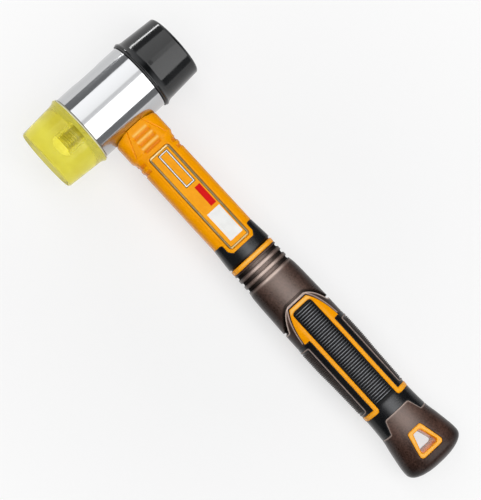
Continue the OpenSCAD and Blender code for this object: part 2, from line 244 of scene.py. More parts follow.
# End plugs and studs: turned steel plugs pressed into the barrel, each with a threaded stud.
# A face screws on to the stud, whose end shows through the clear yellow one.
# The studs are remade with their right-hand thread; the plugs keep their solids.
STUD_R, STUD_CHAMFER, STUD_ROWS, STUD_STEPS = 0.0050, 0.0010, 170, 72
THREAD_PITCH, THREAD_DEPTH = 0.0015, 0.0008
THREAD_CREST, THREAD_FLANK = 1.35, 4.4
STEEL_TONE = (0.55, 0.54, 0.52)
TOOL_MARK_SCALE = 520.0

steel = new_material("turned_steel", STEEL_TONE, 0.3, 1.0)
add_haze(steel, scale=180.0, low=0.26, high=0.36)
tree, shader = nodes_of(steel)
from_axis = add_node(tree, "ShaderNodeVectorMath", {
    0: object_place(tree), 1: (head_x, 0.0, head_z)}, operation="SUBTRACT")
tool_marks = add_node(tree, "ShaderNodeTexWave", {
    "Vector": from_axis.outputs["Vector"], "Scale": TOOL_MARK_SCALE, "Distortion": 0.4, "Detail": 1.0},
    wave_type="RINGS", rings_direction="Y")
add_bump(tree, shader, tool_marks.outputs["Fac"], strength=0.25, distance=0.00004)


# Gives a node that keeps its solid a better material
def dress(node, material):
    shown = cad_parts[node]
    shown.data.materials.clear()
    shown.data.materials.append(material)


dress("yellow_end_plug", steel)
dress("black_end_plug", steel)


# Where a node starts and stops, out along the barrel from its middle
def barrel_reach(node):
    low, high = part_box(node)
    return sorted((abs(low[1]), abs(high[1])))


# Height of the thread, 0 at its root and 1 on its crest
def thread_wave(along, angle):
    turn = (along / THREAD_PITCH - angle / (2 * math.pi)) % 1.0
    return np.clip(THREAD_CREST - np.abs(turn - 0.5) * THREAD_FLANK, 0.0, 1.0)


def make_stud(name, node, end):
    start, stop = barrel_reach(node)
    along = np.linspace(start, stop, STUD_ROWS)[:, None]
    angle = full_turn(STUD_STEPS)
    chamfer = np.clip((stop - along) / STUD_CHAMFER, 0.0, 1.0)
    crest = STUD_R - STUD_CHAMFER * (1 - chamfer)
    radius = np.minimum(STUD_R - THREAD_DEPTH * (1 - thread_wave(along, angle)), crest)
    stud = ring_grid(head_points(radius, along, angle, end))
    fit_piece(stud, name, [steel], "hammer", node, sharp_deg=55.0)


make_stud("threaded_stud_yellow_end", "yellow_end_stud", -1)
make_stud("threaded_stud_black_end", "black_end_stud", 1)

# Seat washers: thin moulded nylon rings between the barrel's ends and the faces.
# The one under the clear face is pale, the other is dark. Both keep their solids.
pale_nylon = new_material("pale_nylon", (0.62, 0.60, 0.44), 0.5)
add_haze(pale_nylon, scale=300.0, low=0.4, high=0.6, bump=0.2, distance=0.00005)
dress("yellow_seat_washer", pale_nylon)
dark_nylon = new_material("dark_nylon", (0.016, 0.016, 0.017), 0.45)
add_haze(dark_nylon, scale=300.0, low=0.35, high=0.55, bump=0.2, distance=0.00005)
dress("black_seat_washer", dark_nylon)

# Faces: moulded soft faces with a flared collar, a gentle taper and a rounded striking edge.
# The yellow one is cast in clear tinted plastic, the black one in hard polished rubber.
# Each has a blind threaded hole; its round floor and the seat are frosted, the striking end scuffed.
FACE_COLLAR_R, FACE_FLARE_R, FACE_R = 0.0227, 0.0213, 0.0200
FACE_L, COLLAR_LAND, FLARE_L = 0.0264, 0.0010, 0.0046
EDGE_R, SOFT_CORNER, FACE_STEPS = 0.0016, 0.0004, 144
HOLE_R, HOLE_L, HOLE_DOME = 0.00506, 0.0130, 0.0045
HOLE_THREAD, HOLE_MOUTH, HOLE_ROWS = 0.00015, 0.0006, 110
MOULDED, FROSTED, SCUFFED = 0, 1, 2


def quarter_turn(centre, r, start, steps):
    turns = np.radians(np.linspace(start, start + 90, steps))
    return [(centre[0] + r * math.cos(t), centre[1] + r * math.sin(t)) for t in turns]


# A smooth bend from a to c that is pulled towards b
def bend(a, b, c, steps):
    a, b, c = (np.array(v) for v in (a, b, c))
    t = np.linspace(0, 1, steps)[:, None]
    return [tuple(p) for p in (1 - t) ** 2 * a + 2 * t * (1 - t) * b + t ** 2 * c]


def make_face(name, node, end, body, materials):
    seat = barrel_reach(node)[0]
    flare_stop = (FACE_FLARE_R, COLLAR_LAND + FLARE_L)
    flare_pull = (FACE_FLARE_R, COLLAR_LAND + FLARE_L / 3)
    taper = np.array((FACE_R, FACE_L - EDGE_R)) - flare_stop
    outline = [(HOLE_R + HOLE_MOUTH, 0.0)]
    outline += quarter_turn((FACE_COLLAR_R - SOFT_CORNER, SOFT_CORNER), SOFT_CORNER, -90, 6)
    outline += bend((FACE_COLLAR_R, COLLAR_LAND), flare_pull, flare_stop, 14)
    outline += [flare_stop + taper * share for share in np.linspace(0.1, 0.95, 10)]
    outline += quarter_turn((FACE_R - EDGE_R, FACE_L - EDGE_R), EDGE_R, 0, 10)
    outline += [(FACE_R * share, FACE_L) for share in (0.75, 0.5, 0.25, 0.02)]
    outer = np.array(outline)
    angle = full_turn(FACE_STEPS)
    skin = head_points(outer[:, :1], seat + outer[:, 1:], angle, end)
    depth = np.linspace(HOLE_L, HOLE_MOUTH, HOLE_ROWS)[:, None]
    wall = HOLE_R + HOLE_THREAD * thread_wave(depth + seat, angle)
    hole = head_points(wall, seat + depth, angle, end)
    dome_turn = np.linspace(0.49 * math.pi, 0.05 * math.pi, 8)[:, None]
    dome_along = seat + HOLE_L + HOLE_DOME * np.sin(dome_turn)
    dome = head_points(HOLE_R * np.cos(dome_turn), dome_along, angle, end)
    face = ring_grid(np.concatenate([dome, hole, skin]))
    for cell in face.faces:
        middle = cell.calc_center_median()
        off_axis = math.hypot(middle.x - head_x, middle.z - head_z)
        out = abs(middle.y) - seat
        in_dome = off_axis < HOLE_R and HOLE_L < out < HOLE_L + 1.2 * HOLE_DOME
        cell.material_index = FROSTED if in_dome or out < 0.1 * SOFT_CORNER else MOULDED
        if out > FACE_L - 0.1 * EDGE_R:
            cell.material_index = SCUFFED
    fit_piece(face, name, materials, body, node, sharp_deg=42.0)


def mix_tones(tree, share, first, second):
    return add_node(tree, "ShaderNodeMix", {0: share, 6: first, 7: second}, data_type="RGBA").outputs[2]


# Cloudy streaks that cast plastic shows inside
def make_cloud_group():
    group, into, out = new_group(
        "cast_clouds",
        {"Clear": (0.8, 0.8, 0.1, 1.0), "Cloudy": (0.6, 0.6, 0.1, 1.0), "Scale": 60.0},
        {"Color": "NodeSocketColor"})
    streaks = add_noise(group, object_place(group), into.outputs["Scale"], 3.0, 0.5, 0.6)
    mask = ramp(group, streaks, 0.35, 0.68, 0.0, 1.0)
    tone = mix_tones(group, mask, into.outputs["Clear"], into.outputs["Cloudy"])
    group.links.new(tone, out.inputs["Color"])
    return group


cloud_group = make_cloud_group()


def add_clouds(material, clear, cloudy, scale):
    tree, shader = nodes_of(material)
    clouds = add_node(tree, "ShaderNodeGroup", {
        "Clear": (*clear, 1.0), "Cloudy": (*cloudy, 1.0), "Scale": scale}, node_tree=cloud_group)
    tree.links.new(clouds.outputs["Color"], shader.inputs["Base Color"])


clear_yellow = new_material("clear_yellow_plastic", (0.78, 0.74, 0.06), 0.2, sockets={
    "Transmission Weight": 0.8, "IOR": 1.36, "Specular IOR Level": 0.22})
add_clouds(clear_yellow, clear=(0.93, 0.86, 0.12), cloudy=(0.78, 0.69, 0.06), scale=85.0)
add_haze(clear_yellow, scale=140.0, low=0.05, high=0.13, bump=0.05)

# The frosted parts glow: a painted light, emitted by the material, stands in for the light that gathers
# inside the clear plastic
glowing_frosted_yellow = new_material("frosted_yellow_plastic_painted_glow", (0.98, 0.95, 0.45), 0.6, sockets={
    "Emission Color": (1.0, 0.97, 0.55, 1.0), "Emission Strength": 0.3})
add_clouds(glowing_frosted_yellow, clear=(1.0, 0.98, 0.55), cloudy=(0.96, 0.93, 0.40), scale=300.0)
add_haze(glowing_frosted_yellow, scale=300.0, low=0.5, high=0.7, bump=0.1)

scuffed_yellow = new_material("scuffed_yellow_plastic", (0.92, 0.84, 0.09), 0.5, sockets={
    "Transmission Weight": 0.6, "IOR": 1.36, "Specular IOR Level": 0.1})
add_clouds(scuffed_yellow, clear=(0.96, 0.88, 0.10), cloudy=(0.86, 0.77, 0.06), scale=160.0)
add_haze(scuffed_yellow, scale=500.0, low=0.4, high=0.65, bump=0.2)

hard_rubber = new_material("polished_black_rubber", (0.012, 0.013, 0.014), 0.2)
add_clouds(hard_rubber, clear=(0.004, 0.0045, 0.005), cloudy=(0.008, 0.0085, 0.009), scale=120.0)
add_haze(hard_rubber, scale=120.0, low=0.08, high=0.16, bump=0.06)

scuffed_rubber = new_material("scuffed_black_rubber", (0.014, 0.014, 0.015), 0.4)
add_clouds(scuffed_rubber, clear=(0.010, 0.010, 0.011), cloudy=(0.018, 0.018, 0.019), scale=160.0)
add_haze(scuffed_rubber, scale=500.0, low=0.3, high=0.5, bump=0.2)

yellow_finishes = [clear_yellow, glowing_frosted_yellow, scuffed_yellow]
black_finishes = [hard_rubber, hard_rubber, scuffed_rubber]
make_face("soft_face_yellow", "yellow_face", -1, "yellow_end", yellow_finishes)
make_face("soft_face_black", "black_face", 1, "black_end", black_finishes)

# Core and resin: a pultruded glass fibre bar through the eye, held with dark cast resin.
# Only their ends show, at the crown of the barrel, so both keep their solids.
STRAND_SCALE = (20.0, 1800.0, 1800.0)
STRAND_DARK, STRAND_PALE = (0.38, 0.30, 0.12, 1.0), (0.66, 0.58, 0.30, 1.0)

glass_fibre = new_material("pultruded_glass_fibre", (0.55, 0.46, 0.20), 0.5)
tree, shader = nodes_of(glass_fibre)
strands = add_node(tree, "ShaderNodeMapping", {"Vector": object_place(tree), "Scale": STRAND_SCALE})
fibre = add_noise(tree, strands.outputs["Vector"], 1.0, 4.0)
tree.links.new(mix_tones(tree, fibre, STRAND_DARK, STRAND_PALE), shader.inputs["Base Color"])
dress("glass_fibre_core", glass_fibre)

cast_resin = new_material("cast_resin", (0.03, 0.03, 0.03), 0.4)
add_clouds(cast_resin, clear=(0.035, 0.034, 0.032), cloudy=(0.02, 0.02, 0.02), scale=500.0)
add_haze(cast_resin, scale=500.0, low=0.3, high=0.55, bump=0.3)
dress("eye_resin", cast_resin)

# Jacket: tough orange plastic moulded round the core. It forms the shoulder under the barrel,
# the neck with its label recess, the thin ring and the raised frame on the grip.
# Sizes here are millimetres from the barrel's axis, towards the butt.
MM = 0.001
SADDLE_R, SADDLE_STEPS, SADDLE_SEARCH = 21.55, 24, (17.5, 23.0, 400)
HANDLE_START, NECK_END, NECK_SQUARE = 17.2, 103.2, 3.4
SHOULDER_TOP, SHOULDER_R, SHOULDER_W, SHOULDER_T = 20.0, 3.0, 29.7, 19.6
RING_START, RING_END = 118.4, 121.4
SIDE_START, FOOT_START, BAND_START = 176.8, 230.3, 233.4
CAP_START, BUTT_WIDE, BUTT_END, BUTT_POWER = 247.5, 270.6, 279.0, 2.6

# The handle's sections: place, width, thickness, and how square the section is
WIDTH, THICKNESS, SQUARE = 1, 2, 3
sections = [(HANDLE_START, SHOULDER_W - 2 * SHOULDER_R, SHOULDER_T, NECK_SQUARE)]
for turn in (0, 30, 60, 90):
    rise, spread = 1 - math.cos(math.radians(turn)), 1 - math.sin(math.radians(turn))
    rounded_w = SHOULDER_W - 2 * SHOULDER_R * spread
    sections.append((SHOULDER_TOP + SHOULDER_R * rise, rounded_w, SHOULDER_T, NECK_SQUARE))
sections += [
    (34.5, SHOULDER_W, SHOULDER_T, NECK_SQUARE),
    (37.0, 27.7, 19.0, NECK_SQUARE),
    (101.0, 27.7, 19.0, NECK_SQUARE),
    (RING_START, 30.0, 22.0, 2.8),
    (RING_END, 30.0, 22.0, 2.8),
    (134.5, 30.43, 23.0, 2.8),
    (138.0, 31.7, 24.4, 2.4),
    (153.2, 32.72, 25.52, 2.4),
    (SIDE_START, 33.4, 26.0, 2.4),
    (190.2, 33.4, 26.0, 2.4),
    (208.9, 32.08, 25.28, 2.4),
    (BAND_START, 31.2, 24.8, 2.4),
    (CAP_START, 32.4, 25.68, 2.4),
    (257.9, 36.0, 27.0, 2.6),
    (BUTT_WIDE, 39.2, 27.0, 2.6),
]
sections = np.array(sections)


def smooth_slopes(x, y):
    step = np.diff(x)
    rise = np.diff(y) / step
    slope = np.zeros_like(y)
    for i in range(1, len(x) - 1):
        if rise[i - 1] * rise[i] > 0:
            a, b = 2 * step[i] + step[i - 1], step[i] + 2 * step[i - 1]
            slope[i] = (a + b) / (a / rise[i - 1] + b / rise[i])
    return slope


section_slopes = {c: smooth_slopes(sections[:, 0], sections[:, c]) for c in (WIDTH, THICKNESS, SQUARE)}


# The handle's width, thickness or squareness at a place, smooth between its sections
def handle_size(x, which):
    xs, ys, slope = sections[:, 0], sections[:, which], section_slopes[which]
    i = np.clip(np.searchsorted(xs, x) - 1, 0, len(xs) - 2)
    h = xs[i + 1] - xs[i]
    t = np.clip((x - xs[i]) / h, 0.0, 1.0)
    low = (1 + 2 * t) * (1 - t) ** 2 * ys[i] + t * (1 - t) ** 2 * h * slope[i]
    high = t * t * (3 - 2 * t) * ys[i + 1] + t * t * (t - 1) * h * slope[i + 1]
    size = low + high
    if which != SQUARE:
        past_wide = np.clip((x - BUTT_WIDE) / (BUTT_END - BUTT_WIDE), 0.0, 1.0)
        size = size * np.sqrt(np.clip(1 - past_wide ** BUTT_POWER, 0.0, 1.0))
    return size


def half_width(x):
    return handle_size(x, WIDTH) / 2


# Across and up on the handle's section, at an angle from its side, raised by a lift
def section_point(x, angle, lift):
    w = half_width(x) + lift
    d = handle_size(x, THICKNESS) / 2 + lift
    power = 2 / handle_size(x, SQUARE)
    c, s = np.cos(angle), np.sin(angle)
    return w * np.sign(c) * np.abs(c) ** power, d * np.sign(s) * np.abs(s) ** power


def distance_walked(x, y):
    return np.concatenate([[0], np.cumsum(np.hypot(np.diff(x), np.diff(y)))])


# One quarter of the skin laid out flat: run is the distance along the handle's edge, and
# girth the distance round from the middle line (0) to the side (GIRTH)
GIRTH = 24.0
TABLE_STEP, TABLE_TIP, TABLE_TIP_ROWS = 0.8, 262.0, 90
TABLE_ANGLES, TABLE_COLUMNS = 361, 241
table_x = np.concatenate([
    np.arange(HANDLE_START, TABLE_TIP, TABLE_STEP), np.linspace(TABLE_TIP, BUTT_END, TABLE_TIP_ROWS)])
table_run = table_x[0] + distance_walked(table_x, half_width(table_x))
angle_share, even_share = np.linspace(0, 1, TABLE_ANGLES), np.linspace(0, 1, TABLE_COLUMNS)
table_angle = np.linspace(math.pi / 2, 0.0, TABLE_ANGLES)
table_share, table_turn = [], []
for x in table_x:
    y, z = section_point(np.full_like(table_angle, min(x, BUTT_END - 0.02)), table_angle, 0.0)
    length = distance_walked(y, z)
    length /= length[-1]
    table_share.append(np.interp(even_share, angle_share, length))
    table_turn.append(np.interp(even_share, length, table_angle))
table_share, table_turn = np.array(table_share), np.array(table_turn)


def from_table(table, row_at, column_share):
    i = np.clip(np.searchsorted(table_x, row_at) - 1, 0, len(table_x) - 2)
    t = np.clip((row_at - table_x[i]) / (table_x[i + 1] - table_x[i]), 0.0, 1.0)
    place = np.clip(column_share, 0.0, 1.0) * (table.shape[1] - 1)
    k = np.clip(place.astype(int), 0, table.shape[1] - 2)
    f = place - k
    low = table[i, k] * (1 - f) + table[i, k + 1] * f
    high = table[i + 1, k] * (1 - f) + table[i + 1, k + 1] * f
    return low * (1 - t) + high * t


# From a plan point (x along, y across) to the flat layout
def lay_flat(plan):
    plan = np.array(plan, dtype=float)
    x, y = plan[:, 0], plan[:, 1]
    half = half_width(x)
    share = np.clip(y / np.maximum(half, 1e-6), 0.0, 1.0)
    angle = np.arccos(share ** (handle_size(x, SQUARE) / 2))
    girth = from_table(table_share, x, 1 - angle / (math.pi / 2)) * GIRTH
    girth = np.where(y >= half - 1e-6, GIRTH, np.where(y <= 0, 0.0, girth))
    return np.stack([np.interp(x, table_x, table_run), girth], axis=-1)


# From the flat layout back on to the handle, raised by a lift
def wrap(flat, lift):
    in_middle, at_side = flat[:, 1] <= 0, flat[:, 1] >= GIRTH
    x = np.interp(flat[:, 0], table_run, table_x)
    angle = from_table(table_turn, x, flat[:, 1] / GIRTH)
    angle = np.where(in_middle, math.pi / 2, np.where(at_side, 0.0, angle))
    y, z = section_point(x, angle, lift)
    return np.stack([x, np.where(in_middle, 0.0, y), np.where(at_side, 0.0, z)], axis=-1)


# Rounds the corners of a plan outline; corners holds the radius for each point, 0 to leave it
def soften(points, corners, steps=6):
    out = []
    for i, (point, r) in enumerate(zip(points, corners)):
        p = np.array(point, dtype=float)
        if r <= 0:
            out.append(tuple(p))
            continue
        a = np.array(points[i - 1], dtype=float) - p
        b = np.array(points[(i + 1) % len(points)], dtype=float) - p
        la, lb = np.linalg.norm(a), np.linalg.norm(b)
        half = math.acos(np.clip(a @ b / la / lb, -1, 1)) / 2
        reach = min(r / math.tan(half), la * 0.49, lb * 0.49)
        out += bend(p + a / la * reach, p, p + b / lb * reach, steps)
    return out


# An outline's points that lie on the side seam have SIDE as their distance across
SIDE = 99.0


def is_seam(a, b):
    return (a[1] <= 0 and b[1] <= 0) or (a[1] >= SIDE and b[1] >= SIDE)


# Cuts a plan outline into short steps and lays it flat; seams are stepped at the given rows.
# Gives the points, and for each whether a real edge, not a seam, starts there.
def trace(outline, step, rows):
    points, real = [], []
    for i, corner in enumerate(outline):
        a, b = np.array(corner, float), np.array(outline[(i + 1) % len(outline)], float)
        seam = is_seam(a, b)
        seam_girth = GIRTH if a[1] >= SIDE else 0.0
        if seam and rows is not None:
            low, high = sorted((a[0], b[0]))
            stops = [row for row in rows if low + step * 0.3 < row < high - step * 0.3]
            stops = stops if a[0] < b[0] else stops[::-1]
            shares = [0.0] + [(row - a[0]) / (b[0] - a[0]) for row in stops]
        else:
            number = max(1, math.ceil(np.linalg.norm(lay_flat([b])[0] - lay_flat([a])[0]) / step))
            shares = [j / number for j in range(number)]
        if (a[1] >= SIDE) != (b[1] >= SIDE):
            a[1], b[1] = min(a[1], half_width(a[0])), min(b[1], half_width(b[0]))
        for share in shares:
            flat = lay_flat([a + (b - a) * share])[0]
            if seam:
                flat[1] = seam_girth
            points.append(flat)
            real.append(not seam)
    return np.array(points), real


def signed_area(p):
    return 0.5 * np.sum(p[:, 0] * np.roll(p[:, 1], -1) - np.roll(p[:, 0], -1) * p[:, 1])


def inside(points, polygon):
    result = np.zeros(len(points), dtype=bool)
    for a, b in zip(polygon, np.roll(polygon, -1, axis=0)):
        across = (a[1] > points[:, 1]) != (b[1] > points[:, 1])
        reach = (b[0] - a[0]) * (points[:, 1] - a[1]) / (b[1] - a[1] + 1e-30) + a[0]
        result ^= across & (points[:, 0] < reach)
    return result


def border_distance(points, starts, ends):
    best = np.full(len(points), 1e9)
    for a, b in zip(starts, ends):
        d = b - a
        t = np.clip(((points - a) @ d) / max(d @ d, 1e-12), 0.0, 1.0)
        best = np.minimum(best, np.linalg.norm(points - a - t[:, None] * d, axis=1))
    return best


# Moves an outline inwards: points beside a seam slide along it, corners keep their distance
def shrink(points, real, amount):
    moved = []
    for i, here in enumerate(points):
        before, after = points[i - 1], points[(i + 1) % len(points)]
        d1 = (here - before) / max(np.linalg.norm(here - before), 1e-9)
        d2 = (after - here) / max(np.linalg.norm(after - here), 1e-9)
        n1, n2 = np.array([-d1[1], d1[0]]), np.array([-d2[1], d2[0]])
        if real[i - 1] and real[i]:
            moved.append(here + (n1 + n2) / max(1 + n1 @ n2, 0.35) * amount)
        elif real[i - 1]:
            moved.append(here + d2 * amount / max(n1 @ d2, 0.3))
        elif real[i]:
            moved.append(here - d1 * amount / max(-(n2 @ d1), 0.3))
        else:
            moved.append(None)
    return moved


EDGE_RINGS = (0.16, 0.5, 1.0)


# Meshes a quarter's outline in the flat layout, with rings of points along its rounded edge, a
# grid in rows, and lines of points along the folds. Gives points, faces and distances from the edge.
def flat_mesh(outline, edge, spacing, rows, folds):
    step, clear = spacing * 0.7, spacing * 0.3
    border, real = trace(outline, step, rows)
    if signed_area(border) < 0:
        border = border[::-1]
        real = real[::-1]
        real = real[1:] + real[:1]
    count = len(border)
    verts = list(border)
    lines = [(i, (i + 1) % count) for i in range(count)]
    for share in EDGE_RINGS:
        names = []
        for point in shrink(border, real, edge * share):
            names.append(None if point is None else len(verts))
            if point is not None:
                verts.append(point)
        for i, j in lines[:count]:
            if real[i] and names[i] is not None and names[j] is not None:
                lines.append((names[i], names[j]))
    real, after = np.array(real), np.roll(border, -1, axis=0)
    edge_line, seam_line = (border[real], after[real]), (border[~real], after[~real])
    if rows is None:
        runs = np.arange(border[:, 0].min(), border[:, 0].max(), spacing)
    else:
        runs = np.interp(rows, table_x, table_run)
    girths = np.linspace(0, GIRTH, int(GIRTH / spacing) + 1)[1:-1]
    grid = np.array([(run, girth) for run in runs for girth in girths])
    grid = grid[inside(grid, border)]
    grid = grid[border_distance(grid, *edge_line) > edge + clear]
    grid = grid[border_distance(grid, *seam_line) > clear]
    for fold in folds:
        run, girth = lay_flat(fold).T
        walked = distance_walked(run, girth)
        stops = np.linspace(0, walked[-1], int(walked[-1] / step) + 2)
        line = np.stack([np.interp(stops, walked, run), np.interp(stops, walked, girth)], axis=-1)
        lines += [(len(verts) + i, len(verts) + i + 1) for i in range(len(line) - 1)]
        verts += list(line)
        grid = grid[border_distance(grid, line[:-1], line[1:]) > clear]
    verts += list(grid)
    made = delaunay_2d_cdt([Vector(v) for v in verts], lines, [], 1, 1e-6)
    flat = np.array([(v[0], v[1]) for v in made[0]])
    centres = np.array([flat[list(f)].mean(axis=0) for f in made[2]])
    faces = [f for f, kept in zip(made[2], inside(centres, border)) if kept]
    return flat, faces, border_distance(flat, *edge_line)


SHADE_DEPTH, WELD = 0.7, 2e-3


# Builds a quarter of a moulded layer from its plan outline and repeats it round the handle.
# lift is its height over the handle's form, depth where its underside lies, edge its rounding.
# relief raises or cuts its face, and two more functions give how much painted highlight and painted shade
# it takes; without the second, shade is painted as deep as the face is cut.
def moulded_layer(outline, lift, depth, edge, spacing, rows=None, relief=None, painted_highlight=None, shade=None,
                  folds=(), sides=(1, -1), through=False):
    flat, faces, far = flat_mesh(outline, edge, spacing, rows, folds)
    size = len(flat)
    level = np.zeros(size)
    x, y = wrap(flat, level)[:, :2].T
    carved = relief(x, y) if relief else level
    # Painted shade, by default darker the deeper the face is cut
    deep = shade(x, y) if shade else np.clip(-carved / SHADE_DEPTH, 0.0, 1.0)
    pale = painted_highlight(x, y, far) if painted_highlight else level
    away = np.minimum(far, edge)
    rounded = lift - edge + np.sqrt(np.maximum(edge ** 2 - (edge - away) ** 2, 0.0))
    top = wrap(flat, rounded + carved)
    under = top * np.array([1.0, 1.0, 0.0]) if through else wrap(flat, np.full(size, depth))
    points = np.concatenate([top, under])
    painted_shade = np.concatenate([deep, level])
    # A layer that goes right through has its inner wall painted pale, a painted highlight against the shade
    # inside it
    pale = np.concatenate([pale, np.full(size, float(through))])
    edges = dict.fromkeys((a, b) for f in faces for a, b in zip(f, f[1:] + f[:1]))
    on_seam = (flat[:, 1] <= 1e-5) | (flat[:, 1] >= GIRTH - 1e-5)
    cells = [tuple(f) for f in faces]
    for a, b in edges:
        along_seam = on_seam[a] and on_seam[b] and abs(flat[a, 1] - flat[b, 1]) < 1e-5
        if (b, a) not in edges and not along_seam:
            cells.append((a, a + size, b + size, b))
    if not through:
        cells += [tuple(v + size for v in reversed(f)) for f in faces]
    shape = bmesh.new()
    shade_mark = shape.verts.layers.float.new("painted_shade")
    highlight_mark = shape.verts.layers.float.new("painted_highlight")
    for across in sides:
        for up in (1, -1):
            made = [shape.verts.new(p) for p in points * np.array([1.0, across, up])]
            for vert, dark, bright in zip(made, painted_shade, pale):
                vert[shade_mark] = dark
                vert[highlight_mark] = bright
            for cell in cells:
                shape.faces.new([made[v] for v in (cell if across * up > 0 else cell[::-1])])
    bmesh.ops.remove_doubles(shape, verts=shape.verts, dist=WELD)
    bmesh.ops.delete(shape, geom=[v for v in shape.verts if not v.link_faces], context="VERTS")
    return shape


# Joins shapes in millimetres, moves them on to the handle and fits them to the hammer
def hammer_piece(shapes, name, materials, node):
    whole = shapes[0]
    for extra in shapes[1:]:
        mesh = bpy.data.meshes.new("joining")
        extra.to_mesh(mesh)
        extra.free()
        whole.from_mesh(mesh)
        bpy.data.meshes.remove(mesh)
    for vert in whole.verts:
        vert.co = (head_x + vert.co.x * MM, vert.co.y * MM, head_z + vert.co.z * MM)
    return fit_piece(whole, name, materials, "hammer", node)


def combine(tree, operation, first, second=0.0):
    return add_node(tree, "ShaderNodeMath", {0: first, 1: second}, operation=operation).outputs[0]


# Fine moulded grain: small cells for the height, broad patches for colour and gloss.
# The mesh's own marks paint light and shade into the colour: painted shade in its hollows and on darkened
# flanks and ends, and painted highlights and sheen on its crests, edges and middle.
def make_grain_group():
    group, into, out = new_group(
        "moulded_grain",
        {"Light": (0.8, 0.8, 0.8, 1.0), "Dark": (0.6, 0.6, 0.6, 1.0), "Painted Shade": (0.1, 0.1, 0.1, 1.0),
         "Painted Highlight": (0.9, 0.9, 0.9, 1.0), "Grain": 900.0, "Patches": 40.0, "Low": 0.3, "High": 0.5},
        {"Color": "NodeSocketColor", "Roughness": "NodeSocketFloat", "Height": "NodeSocketFloat"})
    given, place = into.outputs, object_place(group)
    cells = add_noise(group, place, given["Grain"], 3.0, 0.55)
    patches = add_noise(group, place, given["Patches"], 4.0, 0.55)
    both = combine(group, "ADD", cells, patches)
    deep = add_node(group, "ShaderNodeAttribute", attribute_name="painted_shade").outputs["Fac"]
    highlight_share = add_node(group, "ShaderNodeAttribute", attribute_name="painted_highlight").outputs["Fac"]
    tone = mix_tones(group, ramp(group, both, 0.84, 1.16, 1.0, 0.0), given["Light"], given["Dark"])
    tone = mix_tones(group, deep, tone, given["Painted Shade"])
    tone = mix_tones(group, highlight_share, tone, given["Painted Highlight"])
    gloss = ramp(group, both, 0.7, 1.3, given["Low"], given["High"])
    group.links.new(tone, out.inputs["Color"])
    group.links.new(gloss, out.inputs["Roughness"])
    group.links.new(cells, out.inputs["Height"])
    return group


grain_group = make_grain_group()


# tones are its light and dark grain, its painted shade and its painted highlight
def moulded_finish(name, tone, roughness, tones, grain, patches, gloss, bump, distance, specular,
                   metallic=0.0):
    material = new_material(name, tone, roughness, metallic, {"Specular IOR Level": specular})
    tree, shader = nodes_of(material)
    values = {"Grain": grain, "Patches": patches, "Low": gloss[0], "High": gloss[1]}
    for socket, colour in zip(("Light", "Dark", "Painted Shade", "Painted Highlight"), tones):
        values[socket] = (*colour, 1.0)
    look = add_node(tree, "ShaderNodeGroup", values, node_tree=grain_group)
    tree.links.new(look.outputs["Color"], shader.inputs["Base Color"])
    tree.links.new(look.outputs["Roughness"], shader.inputs["Roughness"])
    add_bump(tree, shader, look.outputs["Height"], bump, distance)
    return material


ORANGE_TONES = ((1.0, 0.385, 0.0), (0.96, 0.345, 0.0), (0.80, 0.23, 0.0), (1.0, 0.58, 0.13))
orange_plastic = moulded_finish(
    "orange_plastic", (1.0, 0.32, 0.0), 0.35, ORANGE_TONES, grain=1500.0, patches=45.0,
    gloss=(0.2, 0.32), bump=0.08, distance=0.00006, specular=0.14)

TONGUE_HALF, TONGUE_TIP_HALF, TONGUE_SHOULDER, TONGUE_TIP = 9.6, 7.8, 108.6, 111.1
PANEL_START, PANEL_STOP, PANEL_HALF, PANEL_R, PANEL_FLOOR = 38.9, 109.3, 8.1, 2.2, 8.8
PANEL_LIP = 0.18
PLATE_TOP, PLATE_STOP, PLATE_TOP_HALF, PLATE_STOP_HALF = 20.0, 34.5, 5.7, 11.4
PLATE_RISE, PLATE_LINE = 0.4, 0.3
GROOVES, GROOVE_HALF, GROOVE_REACH, GROOVE_DEPTH = (26.0, 30.5, 35.0), 6.3, 1.55, 1.0
NOTCHES, NOTCH_HALF, NOTCH_INNER, NOTCH_DEPTH = (40.1, 44.7), 1.25, 10.0, 0.55
BAR_OFFSET, BAR_INSET, BAR_SPREAD = 2.0, 1.3, 0.1
UNDERSIDE, NECK_UNDERSIDE = -2.4, -3.2

collar_edge = soften(
    [(TONGUE_TIP, 0.0), (TONGUE_TIP, TONGUE_TIP_HALF), (TONGUE_SHOULDER, TONGUE_HALF),
     (NECK_END, TONGUE_HALF), (NECK_END, SIDE)], [0, 1.2, 1.2, 1.6, 0])


def smooth_step(v):
    v = np.clip(v, 0.0, 1.0)
    return v * v * (3 - 2 * v)


# 0 up to an edge, then smoothly 1 once a distance is past it
def past(distance, over):
    return smooth_step(distance / over)


# 1 on a line, fading to 0 beside it
def band(away, width):
    return np.exp(-(away / width) ** 2)


def rows_at(*spans):
    return np.sort(np.concatenate([np.arange(*span) for span in spans]))


def panel_inset(x, y):
    along = np.abs(x - (PANEL_START + PANEL_STOP) / 2) - (PANEL_STOP - PANEL_START) / 2 + PANEL_R
    across = np.abs(y) - PANEL_HALF + PANEL_R
    return PANEL_R - np.hypot(np.maximum(along, 0.0), np.maximum(across, 0.0))


def plate_edge(x):
    return np.interp(x, [PLATE_TOP, PLATE_STOP], [PLATE_TOP_HALF, PLATE_STOP_HALF])


